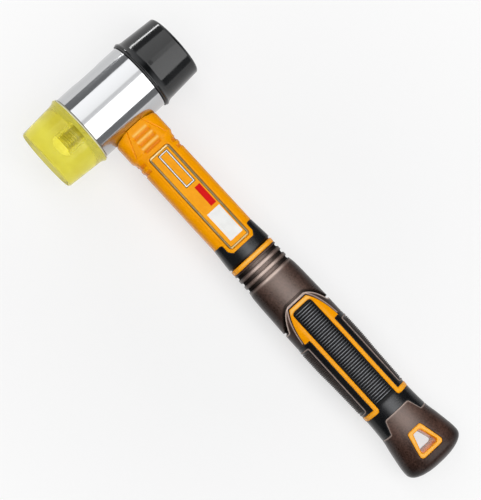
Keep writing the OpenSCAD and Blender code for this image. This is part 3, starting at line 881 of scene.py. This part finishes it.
# The grooves, notches, line and recess it cuts take painted shade by their depth
def neck_relief(x, y):
    to_edge = plate_edge(x) - y
    on_shoulder = past(PLATE_STOP + 0.6 - x, 0.8)
    height = PLATE_RISE * smooth_step(to_edge / 0.5 + 0.5) * on_shoulder
    height = height - PLATE_LINE * band(to_edge + 0.3, 0.35) * on_shoulder
    for groove in GROOVES:
        dip = np.clip(1 - ((x - groove) / GROOVE_REACH) ** 2, 0.0, 1.0)
        height = height - GROOVE_DEPTH * dip * past(GROOVE_HALF - y, 0.9)
    for notch in NOTCHES:
        cut = past(NOTCH_HALF - np.abs(x - notch), 0.5)
        height = height - NOTCH_DEPTH * cut * past(y - NOTCH_INNER, 0.8)
    square = handle_size(x, SQUARE)
    crown = np.maximum(1 - np.clip(y / half_width(x), 0, 1) ** square, 0.0) ** (1 / square)
    to_floor = np.maximum(handle_size(x, THICKNESS) / 2 * crown - PANEL_FLOOR, 0.0)
    inset = panel_inset(x, y)
    return height + PANEL_LIP * band(inset + 0.35, 0.4) - past(inset, 0.7) * to_floor


# Painted highlight: a pale bar beside each groove of the shoulder, on its barrel side
def neck_highlight(x, y, far):
    bright = np.zeros_like(x)
    for groove in GROOVES:
        bar_half = GROOVE_HALF - BAR_INSET + (groove - GROOVES[0]) * BAR_SPREAD
        bright = bright + band(x - groove + BAR_OFFSET, 0.8) * smooth_step((bar_half - y) / 0.8 + 0.5)
    return np.clip(bright, 0.0, 1.0)


# The saddle: where the handle's skin meets the barrel
saddle_edge = []
for angle in np.linspace(math.pi / 2, 0.0, SADDLE_STEPS):
    reach = np.linspace(*SADDLE_SEARCH)
    y, z = section_point(reach, np.full_like(reach, angle), 0.0)
    at = np.argmax(np.hypot(reach, z) >= SADDLE_R)
    saddle_edge.append((reach[at], y[at]))
saddle_edge[0] = (saddle_edge[0][0], 0.0)
saddle_edge[-1] = (saddle_edge[-1][0], SIDE)

fold_x = np.arange(PLATE_TOP + 0.8, PLATE_STOP, 0.4)
plate_folds = [np.stack([fold_x, plate_edge(fold_x) + out], axis=-1) for out in (-0.3, 0.0, 0.3, 0.6, 0.9)]
neck_rows = rows_at((19.6, 37.0, 0.4), (37.0, 48.0, 0.45), (48.0, 107.0, 1.0), (107.0, 111.0, 0.4))
neck = moulded_layer(
    saddle_edge[::-1] + collar_edge, lift=0.0, depth=NECK_UNDERSIDE, edge=0.35, spacing=0.5,
    rows=neck_rows, relief=neck_relief, painted_highlight=neck_highlight, folds=plate_folds)


# Painted highlight along the middle of the ring, fading towards its side
def ring_highlight(x, y, far):
    return band(x - (RING_START + RING_END) / 2, 0.75) * (0.95 - 0.65 * past(y - 4.0, 8.0))


ring = moulded_layer(
    [(RING_START, 0.0), (RING_END, 0.0), (RING_END, SIDE), (RING_START, SIDE)],
    lift=0.05, depth=UNDERSIDE, edge=0.5, spacing=0.8,
    rows=rows_at((RING_START + 0.6, RING_END - 0.5, 0.3)), painted_highlight=ring_highlight)

FRAME_START, FRAME_INNER, FRAME_LEGS = 156.1, 158.8, 162.0
FRAME_HALF, FRAME_STEP_HALF, STRIP_HALF = 9.65, 13.0, 7.15
frame_flank = bend((FRAME_START, 6.4), (162.6, 11.5), (SIDE_START, FRAME_STEP_HALF), 22)
side_corners = [(SIDE_START, FRAME_HALF), (FOOT_START, FRAME_HALF), (FOOT_START, SIDE)]
frame_outer = [(FRAME_START, 0.0)] + frame_flank
frame_outer += soften([frame_flank[-1]] + side_corners, [0, 0.6, 0.7, 0])[1:]
frame_inner = soften(
    [(BAND_START, SIDE), (BAND_START, STRIP_HALF), (FRAME_INNER, STRIP_HALF), (FRAME_INNER, 0.0)],
    [0, 2.4, 2.6, 0])


# Painted highlight along the top of the frame, down its legs and across its foot
def frame_highlight(x, y, far):
    top = band(far - 1.15, 0.65) * past(FRAME_INNER + 0.8 - x, 1.2)
    leg = band(y - (STRIP_HALF + FRAME_HALF) / 2, 0.7) * past(x - FRAME_LEGS, 10.0)
    foot = band(x - (FOOT_START + BAND_START) / 2, 0.8) * past(y - 8.0, 0.8)
    return np.clip(0.95 * top + 0.25 * leg * (x < FOOT_START + 1.5) + 0.3 * foot, 0.0, 0.95)


grip_frame = moulded_layer(
    frame_outer + frame_inner, lift=0.25, depth=UNDERSIDE, edge=0.55, spacing=0.5,
    rows=rows_at((FRAME_START + 0.3, BAND_START, 0.5)), painted_highlight=frame_highlight)


def skin_points(x, angle, lift):
    x, angle = np.broadcast_arrays(x, angle)
    return np.stack([x, *section_point(x, angle, lift)], axis=-1)


# Under the soft layers the jacket runs on as a plain core
CORE_START, CORE_ROWS, CORE_STEPS, CORE_LIFT = 96.0, 90, 96, -2.2
core_x = np.linspace(CORE_START, CAP_START, CORE_ROWS)[:, None]
jacket_core = ring_grid(skin_points(core_x, full_turn(CORE_STEPS), CORE_LIFT))
hammer_piece(
    [neck, ring, grip_frame, jacket_core], "orange_handle_jacket", [orange_plastic],
    "orange_jacket")

# Label: a printed film with a bright bevelled border, stuck in the recess of the neck.
# Its ground is amber, with one plain outlined plate, one plain red block and one white block.
# A block is its start, its stop, and its lowest and highest place across, in millimetres.
AMBER, DARK_LINE, BRIGHT_BEVEL, RED, WHITE = range(5)
FILM_START, FILM_STOP, FILM_HALF, FILM_R = 39.4, 109.0, 7.55, 2.0
LINE_W, BEVEL_W, INNER_LINE_W, LEAST_R = 0.3, 0.9, 0.25, 0.3
FILM_RISE, FILM_CREST, FILM_SINK = 0.2, 0.23, -0.05
OUTLINED_BLOCK = (41.6, 66.0, -2.2, 4.8)
OUTLINE_STEPS = ((0.0, DARK_LINE), (0.4, WHITE), (1.0, DARK_LINE), (1.25, AMBER))
RED_BLOCK, WHITE_BLOCK = (68.6, 82.8, 1.4, 5.3), (85.0, 104.9, -3.9, 5.4)
film_floor, film_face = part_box("label_sticker")[0][2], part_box("label_sticker")[1][2]


def film_finish(name, light, dark, roughness, metallic=0.0):
    return moulded_finish(
        name, light, roughness, (light, dark, dark, light), grain=300.0, patches=120.0,
        gloss=(roughness * 0.85, roughness * 1.2), bump=0.05, distance=0.00003, specular=0.08,
        metallic=metallic)


film_finishes = [
    film_finish("film_amber", (1.0, 0.40, 0.01), (0.95, 0.36, 0.005), 0.32),
    film_finish("film_dark_line", (0.05, 0.025, 0.01), (0.03, 0.015, 0.008), 0.4),
    film_finish("film_bright_bevel", (0.62, 0.46, 0.22), (0.54, 0.40, 0.18), 0.22, 0.55),
    film_finish("film_red", (0.74, 0.003, 0.003), (0.68, 0.002, 0.002), 0.32),
    film_finish("film_white", (0.92, 0.92, 0.90), (0.87, 0.87, 0.85), 0.32),
]


# The film's outline, a set distance in from its edge and at a height
def film_loop(inset, height):
    r = max(FILM_R - inset, LEAST_R)
    x0, x1 = FILM_START + inset + r, FILM_STOP - inset - r
    side = FILM_HALF - inset - r
    loop = []
    for cx, cy, start in ((x1, side, 0), (x0, side, 90), (x0, -side, 180), (x1, -side, 270)):
        loop += [(head_x + x * MM, y * MM, height) for x, y in quarter_turn((cx, cy), r, start, 9)]
    return loop


film_ground = film_face + FILM_SINK * MM
film_steps = [
    (0.0, film_floor), (0.0, film_face + FILM_RISE * MM), (LINE_W, film_face + FILM_CREST * MM),
    (LINE_W + BEVEL_W, film_ground), (LINE_W + BEVEL_W + INNER_LINE_W, film_ground)]
film_loops = np.array([film_loop(*step) for step in film_steps])
film = ring_grid(film_loops, True, False)
film.faces.ensure_lookup_table()
film.verts.ensure_lookup_table()
loop_count = film_loops.shape[1]
for step, tone in enumerate((DARK_LINE, DARK_LINE, BRIGHT_BEVEL, DARK_LINE)):
    for k in range(loop_count):
        film.faces[step * loop_count + k].material_index = tone
inner_loop = [film.verts[4 * loop_count + k] for k in range(loop_count)]
field_verts = [Vector(v.co[:2]) for v in inner_loop]
field_lines = [(k, (k + 1) % loop_count) for k in range(loop_count)]
blocks = []
printed = [(OUTLINED_BLOCK, inset, tone) for inset, tone in OUTLINE_STEPS]
printed += [(RED_BLOCK, 0.0, RED), (WHITE_BLOCK, 0.0, WHITE)]
for (x0, x1, y0, y1), inset, tone in printed:
    x0, x1 = head_x + (x0 + inset) * MM, head_x + (x1 - inset) * MM
    y0, y1 = (y0 + inset) * MM, (y1 - inset) * MM
    blocks.append((x0, x1, y0, y1, tone))
    first = len(field_verts)
    field_verts += [Vector(c) for c in ((x0, y0), (x1, y0), (x1, y1), (x0, y1))]
    field_lines += [(first + k, first + (k + 1) % 4) for k in range(4)]
field = delaunay_2d_cdt(field_verts, field_lines, [], 1, 1e-9)
field_points = []
for place, sources in zip(field[0], field[3]):
    known = [inner_loop[i] for i in sources if i < loop_count]
    field_points.append(known[0] if known else film.verts.new((*place, film_ground)))
for cell in field[2]:
    made = film.faces.new([field_points[v] for v in cell])
    middle = made.calc_center_median()
    for x0, x1, y0, y1, tone in blocks:
        if x0 < middle.x < x1 and y0 < middle.y < y1:
            made.material_index = tone
fit_piece(film, "label_film", film_finishes, "hammer", "label_sticker", sharp_deg=20.0)

# Black collar: soft black rubber moulded round the end of the neck, with a tab on each side.
# It meets the orange tongue above and drops to the orange ring below.
BLACK_TONES = (
    (0.0046, 0.0049, 0.0057), (0.0034, 0.0037, 0.0043), (0.0008, 0.0008, 0.0008), (0.115, 0.118, 0.125))
COLLAR_DROP, COLLAR_SHEEN = 0.8, 0.8
black_rubber = moulded_finish(
    "black_grip_rubber", (0.006, 0.0065, 0.008), 0.36, BLACK_TONES, grain=1300.0, patches=60.0,
    gloss=(0.23, 0.33), bump=0.16, distance=0.00006, specular=0.34)


# The drop to the ring is cut in, so painted shade darkens it by its depth
def collar_relief(x, y):
    return -COLLAR_DROP * past(x - RING_START + 1.0, 0.35)


# Painted sheen down the middle of the collar
def collar_highlight(x, y, far):
    return COLLAR_SHEEN * band(y, 3.6)


collar = moulded_layer(
    collar_edge + [(RING_START, SIDE), (RING_START, 0.0)], lift=0.0, depth=UNDERSIDE, edge=0.5,
    spacing=0.5, relief=collar_relief, painted_highlight=collar_highlight)
hammer_piece([collar], "black_neck_collar", [black_rubber], "black_collar")

# Brown sleeve: softer brown rubber with a fine grain, moulded over the jacket. Three ribs stand
# at its upper end, and an arched groove round the orange frame runs down to each side.
# Painted shade darkens its grooves and its flanks, and the deepest groove floors take a matt, near-black
# rubber as painted shade; painted highlights lie on its ribs, its edges and the line below the arch, with a
# painted sheen down its middle.
BROWN_TONES = ((0.085, 0.042, 0.031), (0.034, 0.016, 0.011), (0.005, 0.002, 0.0015), (0.70, 0.55, 0.48))
GROOVE_SHADE_TONES = ((0.008, 0.004, 0.003), (0.003, 0.0015, 0.001), (0.003, 0.0015, 0.001), BROWN_TONES[3])
brown_rubber = moulded_finish(
    "brown_grip_rubber", (0.045, 0.025, 0.02), 0.5, BROWN_TONES, grain=900.0, patches=50.0,
    gloss=(0.25, 0.40), bump=0.6, distance=0.0001, specular=0.26)
groove_shade_rubber = moulded_finish(
    "brown_groove_shade_rubber", (0.005, 0.002, 0.0015), 0.8, GROOVE_SHADE_TONES, grain=900.0, patches=50.0,
    gloss=(0.7, 0.9), bump=0.4, distance=0.0001, specular=0.04)

RIB_GROOVES, RIB_GROOVE_DEPTH = (123.8, 128.4, 132.9), 1.0
RIB_CRESTS = (126.2, 130.6, 135.2)
ARCH_TOP, ARCH_FOOT = 153.2, (165.4, 15.8)
ARCH_HALF, ARCH_DEPTH, BELOW_ARCH = 0.9, 1.7, 0.12
FRAME_GAP = 0.8
GROOVE_MARK = 0.75

arch_foot = np.linspace(ARCH_FOOT, (165.6, 18.0), 41)[1:]
arch_line = np.concatenate([
    [(ARCH_TOP, 0.0)], bend((ARCH_TOP, 6.4), (155.5, 12.2), ARCH_FOOT, 90), arch_foot])


def from_arch(x, y):
    return border_distance(np.stack([x, y], axis=-1), arch_line[:-1], arch_line[1:])


def past_arch(x, y):
    return x - np.interp(y, arch_line[:, 1], arch_line[:, 0])


# Lines along the arch, each a set distance out from it, for the mesh to follow
def beside_arch(out):
    turn = np.gradient(arch_line, axis=0)
    turn /= np.linalg.norm(turn, axis=1)[:, None]
    line = arch_line + out * np.stack([turn[:, 1], -turn[:, 0]], axis=-1)
    return line[line[:, 1] < half_width(line[:, 0]) - 0.005]


def sleeve_relief(x, y):
    height = -ARCH_DEPTH * past(ARCH_HALF - from_arch(x, y), 0.4)
    for groove in RIB_GROOVES:
        height = height - RIB_GROOVE_DEPTH * past(1.25 - np.abs(x - groove), 0.6)
    return height - BELOW_ARCH * past(past_arch(x, y), 0.6)


# Painted shade: in the arch groove, in the rib grooves towards the flanks, and over both flanks
def sleeve_shade(x, y):
    deep = past(ARCH_HALF - from_arch(x, y), 0.4)
    for groove in RIB_GROOVES:
        deep = deep + past(1.35 - np.abs(x - groove), 0.5) * past(y - 2.0, 7.0)
    return np.clip(deep + 0.62 * past(y - 8.0, 6.0), 0.0, 1.0)


# Painted highlight on the rib crests, the edge below the arch and the border, and painted sheen down the
# middle
def sleeve_highlight(x, y, far):
    crest = np.zeros_like(x)
    for rib in RIB_CRESTS:
        crest = crest + band(x - rib, 0.75) * (0.95 - 0.8 * past(y - 2.5, 8.0))
    sheen = 0.28 * band(y, 7.0) * past(x - RING_END, 2.0)
    below = band(from_arch(x, y) - 1.2, 0.3) * (past_arch(x, y) > 0)
    border = band(far - 0.3, 0.25) * past(x - ARCH_TOP - 0.8, 1.0) * past(SIDE_START - 0.8 - x, 0.6)
    return np.clip(crest + sheen + 0.9 * below + 0.65 * border * (y < 14.5), 0.0, 1.0)


frame_gap_line = [(FRAME_START - FRAME_GAP, 0.0)]
frame_gap_line += [(x - FRAME_GAP * 0.8, y + FRAME_GAP * 0.6) for x, y in frame_flank]
frame_gap_line += [(SIDE_START, FRAME_STEP_HALF + FRAME_GAP)]
sleeve = moulded_layer(
    [(RING_END, SIDE), (RING_END, 0.0)] + frame_gap_line + [(SIDE_START, SIDE)],
    lift=0.0, depth=UNDERSIDE, edge=0.4, spacing=0.4,
    rows=rows_at((RING_END + 0.5, 136.5, 0.25), (137.0, 150.0, 1.0), (150.0, SIDE_START, 0.3)),
    relief=sleeve_relief, painted_highlight=sleeve_highlight, shade=sleeve_shade,
    folds=[beside_arch(out) for out in (-0.95, -0.62, -0.45, 0.45, 0.62, 0.95)])
sleeve_piece = hammer_piece(
    [sleeve], "brown_grip_sleeve", [brown_rubber, groove_shade_rubber], "brown_sleeve")
# Cells wholly deep in painted shade take the near-black groove rubber, also a painted shade
sunk_deep = [mark.value > GROOVE_MARK for mark in sleeve_piece.data.attributes["painted_shade"].data]
for cell in sleeve_piece.data.polygons:
    cell.material_index = 1 if all(sunk_deep[v] for v in cell.vertices) else 0

# Black grip: the strips inside the orange frame, front and back, with fine cross ribs, and the
# band above the butt that joins them, moulded over the jacket in one black rubber.
# A thin lip of the same rubber shows round the frame.
RIBBED_TONES = ((0.0055, 0.006, 0.007), (0.004, 0.0045, 0.005), (0.004, 0.004, 0.0045), (0.42, 0.43, 0.455))
ribbed_rubber = moulded_finish(
    "ribbed_black_rubber", (0.005, 0.0055, 0.006), 0.5, RIBBED_TONES, grain=1300.0, patches=60.0,
    gloss=(0.36, 0.5), bump=0.16, distance=0.00006, specular=0.16)

CAP_TONGUE, CAP_TONGUE_HALF, CAP_TONGUE_FOOT = 239.0, 8.9, 11.8
RIB_PITCH, RIB_HALF, RIB_DEPTH, RIBS_START, RIBS_STOP = 1.68, 5.7, 0.8, 160.2, 229.0
STRIP_START, STRIP_STOP = 159.2, 231.0
LIP_LIFT, LIP_EDGE = -0.9, 0.1
cap_edge = soften(
    [(CAP_START, SIDE), (CAP_START, CAP_TONGUE_FOOT), (CAP_TONGUE, CAP_TONGUE_HALF), (CAP_TONGUE, 0.0)],
    [0, 0.8, 1.6, 0])


# How far each point lies from the crest of its rib, 0 to 1, and whether it is on the ribs at all
def rib_place(x, y):
    wave = np.abs(((x - RIBS_START) / RIB_PITCH) % 1.0 - 0.5) * 2
    on_ribs = smooth_step((RIB_HALF - y) / 0.5 + 0.5) * (x > RIBS_START) * (x < RIBS_STOP)
    return wave, on_ribs


# The grooves between the ribs take painted shade by their depth
def strip_relief(x, y):
    wave, on_ribs = rib_place(x, y)
    return -RIB_DEPTH * past(wave - 0.15, 0.3) * on_ribs


# Painted highlight on the crests of the ribs, and painted sheen down the middle of the band
def strip_highlight(x, y, far):
    wave, on_ribs = rib_place(x, y)
    crest = on_ribs * past(0.35 - wave, 0.25) * (1 - 0.75 * past(y - 1.5, 4.5))
    return crest + 0.6 * band(y, 4.0) * past(x - RIBS_STOP - 1.5, 2.0)


strip = moulded_layer(
    frame_inner[::-1] + cap_edge, lift=0.0, depth=UNDERSIDE, edge=0.4, spacing=0.6,
    rows=rows_at((STRIP_START, STRIP_STOP, RIB_PITCH / 8), (STRIP_STOP, CAP_START, 0.8)),
    relief=strip_relief, painted_highlight=strip_highlight)
lip = moulded_layer(
    frame_gap_line + frame_flank[::-1] + [(FRAME_START, 0.0)],
    lift=LIP_LIFT, depth=UNDERSIDE, edge=LIP_EDGE, spacing=0.5)
strips = hammer_piece(
    [strip, lip], "black_grip_strips", [black_rubber, ribbed_rubber], "black_grip")
for cell in strips.data.polygons:
    cell.material_index = 1 if cell.center.x < head_x + STRIP_STOP * MM else 0

# Side borders and pads: a black rubber border on each flank of the grip, moulded over the jacket,
# holds a pad of brown rubber. The pad has a smooth bead round it, a plain channel inside the
# bead, and fine cross ridges down the flank.
PAD_START, PAD_STOP, PAD_HALF, PAD_UNDERSIDE = 179.1, 229.3, 12.5, -1.2
BEAD_W, CHANNEL_W, CHANNEL_DEPTH = 0.9, 0.8, 0.4
RIDGE_PITCH, RIDGE_HEIGHT = 1.1, 0.6
PAD_TONES = ((0.032, 0.015, 0.011), (0.011, 0.005, 0.004), (0.003, 0.002, 0.002), (0.48, 0.38, 0.34))
pad_rubber = moulded_finish(
    "pad_rubber", (0.03, 0.017, 0.013), 0.5, PAD_TONES, grain=900.0, patches=60.0,
    gloss=(0.35, 0.55), bump=0.4, distance=0.0001, specular=0.15)

side_outline = soften([(SIDE_START, SIDE)] + side_corners, [0, 0.6, 0.7, 0])
pad_outline = soften(
    [(PAD_START, SIDE), (PAD_START, PAD_HALF), (PAD_STOP, PAD_HALF), (PAD_STOP, SIDE)], [0, 1.6, 2.4, 0])


# Whether each point lies inside the pad's bead, and how high it is on its ridge, 0 to 1
def pad_place(x, y):
    girth = lay_flat(np.stack([x, y], axis=-1))[:, 1]
    inner = lay_flat(np.stack([x, np.full_like(x, PAD_HALF)], axis=-1))[:, 1]
    inset = np.minimum.reduce([x - PAD_START, PAD_STOP - x, girth - inner])
    ridge = 0.5 + 0.5 * np.cos(2 * math.pi * x / RIDGE_PITCH)
    return past(inset - BEAD_W, 0.4), ridge * past(inset - BEAD_W - CHANNEL_W, 0.5)


def pad_relief(x, y):
    channel, ridge = pad_place(x, y)
    return RIDGE_HEIGHT * ridge - CHANNEL_DEPTH * channel


# Painted highlight on the bead and, faintly, on the ridges
def pad_highlight(x, y, far):
    return np.clip(0.8 * band(far - 0.5, 0.3) + 0.12 * pad_place(x, y)[1], 0.0, 1.0)


# Painted shade in the channel, lighter on the ridges
def pad_shade(x, y):
    channel, ridge = pad_place(x, y)
    return channel * (0.85 - 0.65 * ridge)


for side, across in (("left", -1), ("right", 1)):
    border = moulded_layer(
        side_outline, lift=0.0, depth=UNDERSIDE, edge=0.4, spacing=0.8, sides=(across,))
    hammer_piece(
        [border], "black_side_border_" + side, [black_rubber], "grip_side_" + side)
    pad = moulded_layer(
        pad_outline, lift=0.3, depth=PAD_UNDERSIDE, edge=0.45, spacing=RIDGE_PITCH / 4,
        rows=rows_at((PAD_START + 0.2, PAD_STOP, RIDGE_PITCH / 4)),
        relief=pad_relief, painted_highlight=pad_highlight, shade=pad_shade, sides=(across,))
    hammer_piece([pad], "brown_side_pad_" + side, [pad_rubber], "side_pad_" + side)

# Butt cap: the flared brown end of the grip, moulded in the same rubber as the sleeve, with a
# tongue front and back that runs up into the black band, and a hole for the eyelet.
# Its side and end are darkened with painted shade.
EYELET_START, EYELET_STOP, EYELET_WALL = 252.9, 269.7, 2.5
EYELET_HALF, EYELET_STOP_HALF = 5.0, 8.9
BUTT_TOUCH, BUTT_SHADE_START, END_SHADE = 264.0, 263.0, 0.85
BUTT_GAP, TIP_L, TIP_STEPS, TIP_ROUND = 0.03, 2.0, 40, 96
eyelet_outer = soften(
    [(EYELET_START, 0.0), (EYELET_START, EYELET_HALF), (EYELET_STOP, EYELET_STOP_HALF), (EYELET_STOP, 0.0)],
    [0, 1.8, 2.6, 0])
end_rows = BUTT_WIDE + (BUTT_END - BUTT_WIDE) * np.sin(np.linspace(-0.3, 1.5, 30))
cap_rows = np.sort(np.concatenate([np.arange(239.7, 268.0, 0.5), end_rows]))


# Painted highlight along the tongue's edge and painted sheen down the middle
def cap_highlight(x, y, far):
    edge = 0.6 * band(far - 0.35, 0.3) * past(CAP_START + 3.5 - x, 2.0)
    return np.clip(edge + 0.24 * band(y, 7.0) * past(BUTT_TOUCH - x, 16.0), 0.0, 1.0)


# Painted shade towards the side and the end
def cap_shade(x, y):
    side = past(y - half_width(x) + 8.0, 8.0)
    return np.clip(0.55 * side + 0.55 * past(x - BUTT_SHADE_START, 12.0), 0.0, END_SHADE)


butt = moulded_layer(
    cap_edge + eyelet_outer + [(BUTT_END - BUTT_GAP, 0.0), (BUTT_END - BUTT_GAP, SIDE)],
    lift=0.0, depth=UNDERSIDE, edge=0.5, spacing=0.5, rows=cap_rows, painted_highlight=cap_highlight, shade=cap_shade)

# A close-fitting plug shuts the small gap that the layer leaves at the very end
tip_x = BUTT_END - TIP_L * np.linspace(1.0, 0.012, TIP_STEPS)[:, None] ** 2
tip_lift = -0.03 - 0.47 * past(BUTT_END - 0.06 - tip_x, 0.12)
butt_tip = ring_grid(skin_points(tip_x, full_turn(TIP_ROUND), tip_lift))
# The plug takes the same painted shade as the end, and no painted highlight
butt_tip.verts.layers.float.new("painted_highlight")
tip_mark = butt_tip.verts.layers.float.new("painted_shade")
for vert in butt_tip.verts:
    vert[tip_mark] = END_SHADE
hammer_piece([butt, butt_tip], "brown_butt_cap", [brown_rubber], "butt_cap")

# Eyelet: the orange plastic lining of the hanging hole, right through the butt.
# It is moulded in one with a rounded lip front and back, and the butt is moulded round it.
EYELET_LIFT, EYELET_EDGE = 0.2, 0.6
hole_start, hole_stop = EYELET_START + EYELET_WALL, EYELET_STOP - EYELET_WALL
eyelet_inner = soften(
    [(hole_stop, 0.0), (hole_stop, EYELET_STOP_HALF - EYELET_WALL),
     (hole_start, EYELET_HALF - EYELET_WALL), (hole_start, 0.0)], [0, 1.8, 1.0, 0])


# Painted highlight round the eyelet's lip
def eyelet_highlight(x, y, far):
    return 0.7 * band(far - 1.1, 0.6)


# Going right through, its wall is painted pale as well, a painted highlight against the shade inside the
# hole
eyelet = moulded_layer(
    eyelet_outer + eyelet_inner, lift=EYELET_LIFT, depth=UNDERSIDE, edge=EYELET_EDGE, spacing=0.45,
    painted_highlight=eyelet_highlight, through=True)
hammer_piece([eyelet], "orange_hang_hole_eyelet", [orange_plastic], "hang_hole_eyelet")

# Stage: a pale painted floor that the collars and the butt rest on, soft boxes overhead, a dim
# room that the chrome reflects, and the camera. Past the hammer the floor fades to white where
# it is seen, and it keeps the shadow.
FLOOR_SIZE, FLOOR_GAP = 12.0, 0.0001
floor_slope = math.atan2(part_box("butt_cap")[0][2], BUTT_TOUCH * MM)
floor_shape = bmesh.new()
bmesh.ops.create_grid(floor_shape, x_segments=1, y_segments=1, size=FLOOR_SIZE)
floor_mesh = bpy.data.meshes.new("floor")
floor_shape.to_mesh(floor_mesh)
floor_shape.free()
floor = bpy.data.objects.new("floor", floor_mesh)
bpy.context.scene.collection.objects.link(floor)
floor.location = (0.0, 0.0, -math.tan(floor_slope) * head_x - FLOOR_GAP)
floor.rotation_euler = (0.0, -floor_slope, 0.0)
floor_paint = new_material("floor_paint", (0.86, 0.86, 0.86), 0.8)
tree, shader = nodes_of(floor_paint)
glow = add_node(tree, "ShaderNodeEmission", {"Color": (1.0, 1.0, 1.0, 1.0), "Strength": 1.0})
rays = add_node(tree, "ShaderNodeLightPath")
seen = rays.outputs["Is Camera Ray"]
for kind in ("Is Glossy Ray", "Is Transmission Ray"):
    seen = combine(tree, "MAXIMUM", seen, rays.outputs[kind])
reach = add_node(tree, "ShaderNodeVectorMath", {0: object_place(tree)}, operation="LENGTH")
share = combine(tree, "MULTIPLY", seen, ramp(tree, reach.outputs["Value"], 0.08, 0.28, 0.6, 1.0))
paint = add_node(tree, "ShaderNodeMixShader", {0: share, 1: shader.outputs[0], 2: glow.outputs[0]})
tree.links.new(paint.outputs[0], tree.nodes["Material Output"].inputs["Surface"])
floor.data.materials.append(floor_paint)

world = bpy.data.worlds.new("studio")
bpy.context.scene.world = world
world.use_nodes = True
tree = world.node_tree
sky = add_node(tree, "ShaderNodeTexCoord")
heading = add_node(tree, "ShaderNodeSeparateXYZ", {"Vector": sky.outputs["Generated"]})
sideways = combine(tree, "ABSOLUTE", heading.outputs["X"])
endways = combine(tree, "ABSOLUTE", heading.outputs["Y"])
wall = combine(
    tree, "MULTIPLY", ramp(tree, endways, 0.25, 0.5, 0.0, 1.0), ramp(tree, sideways, 0.12, 0.4, 0.0, 1.0))
wall = combine(tree, "MULTIPLY", wall, ramp(tree, heading.outputs["Z"], 0.45, 0.95, 0.8, 0.2))
rays = add_node(tree, "ShaderNodeLightPath")
wall = combine(tree, "MULTIPLY", wall, rays.outputs["Is Glossy Ray"])
room = combine(tree, "ADD", ramp(tree, sideways, 0.3, 1.0, 0.04, 0.25), wall)
tree.links.new(room, tree.nodes["Background"].inputs["Strength"])
tree.nodes["Background"].inputs["Color"].default_value = (0.95, 0.97, 1.0, 1.0)


# Stands a lamp or the camera at a spot, facing away from back
def stand_at(thing, spot, right, up, back):
    facing = Matrix((right, up, back)).transposed().to_4x4()
    facing.translation = spot
    thing.matrix_world = facing
    bpy.context.scene.collection.objects.link(thing)


# Each soft box: its name, size, place and aim from the barrel's middle, and power
soft_boxes = (
    ("box_head_side", (0.789, 0.48), (-0.496, 0.17, 0.702), (0.0, 0.17, 0.0), 1.79),
    ("panel_overhead", (0.231, 0.36), (-0.062, 0.11, 0.95), (-0.062, 0.11, 0.0), 0.2475),
    ("panel_black_end", (0.231, 0.12), (-0.062, 0.35, 0.95), (-0.062, 0.35, 0.0), 0.174),
    ("box_butt_side", (0.937, 0.48), (0.45, 0.17, 0.71), (0.0, 0.17, 0.0), 3.67),
    ("strip_head_side", (0.06, 0.18), (-0.6, 0.2, 0.01), (0.0, 0.2, 0.01), 0.54),
    ("fill_overhead", (1.0, 0.6), (0.12, -0.3, 0.95), (0.12, 0.0, 0.0), 3.7),
)
head_middle = Vector((head_x, 0.0, head_z))
for name, size, place, aim, power in soft_boxes:
    light = bpy.data.lights.new(name, "AREA")
    light.shape = "RECTANGLE"
    light.size, light.size_y = size
    light.energy = power
    lamp = bpy.data.objects.new(name, light)
    back = (Vector(place) - Vector(aim)).normalized()
    up = Vector((0.0, 1.0, 0.0))
    up = (up - back * up.dot(back)).normalized()
    stand_at(lamp, head_middle + Vector(place), up.cross(back), up, back)
    lamp.visible_glossy = name != "fill_overhead"

PICTURE_W, VIEW_PX_PER_MM, SENSOR_W = 481, 1.7483, 36.0
CAMERA_AWAY, CAMERA_YAW = 1.20, math.radians(6.5)
HANDLE_SLANT = math.radians(47.43)
AIM_ALONG, AIM_ACROSS = 112.42, -2.273
back = Vector((0.0, -math.sin(CAMERA_YAW), math.cos(CAMERA_YAW)))
across = Vector((0.0, math.cos(CAMERA_YAW), math.sin(CAMERA_YAW)))
along = Vector((1.0, 0.0, 0.0))
right = along * math.cos(HANDLE_SLANT) + across * math.sin(HANDLE_SLANT)
up = -along * math.sin(HANDLE_SLANT) + across * math.cos(HANDLE_SLANT)
camera_data = bpy.data.cameras.new("camera")
camera_data.sensor_fit = "HORIZONTAL"
camera_data.sensor_width = SENSOR_W
camera_data.lens = SENSOR_W * CAMERA_AWAY / (PICTURE_W / VIEW_PX_PER_MM * MM)
camera_data.clip_start = 0.01
camera = bpy.data.objects.new("camera", camera_data)
aim = head_middle + along * AIM_ALONG * MM + across * AIM_ACROSS * MM
stand_at(camera, aim + back * CAMERA_AWAY, right, up, back)
bpy.context.scene.camera = camera
bpy.context.scene.view_settings.view_transform = "Standard"

bpy.context.view_layer.update()
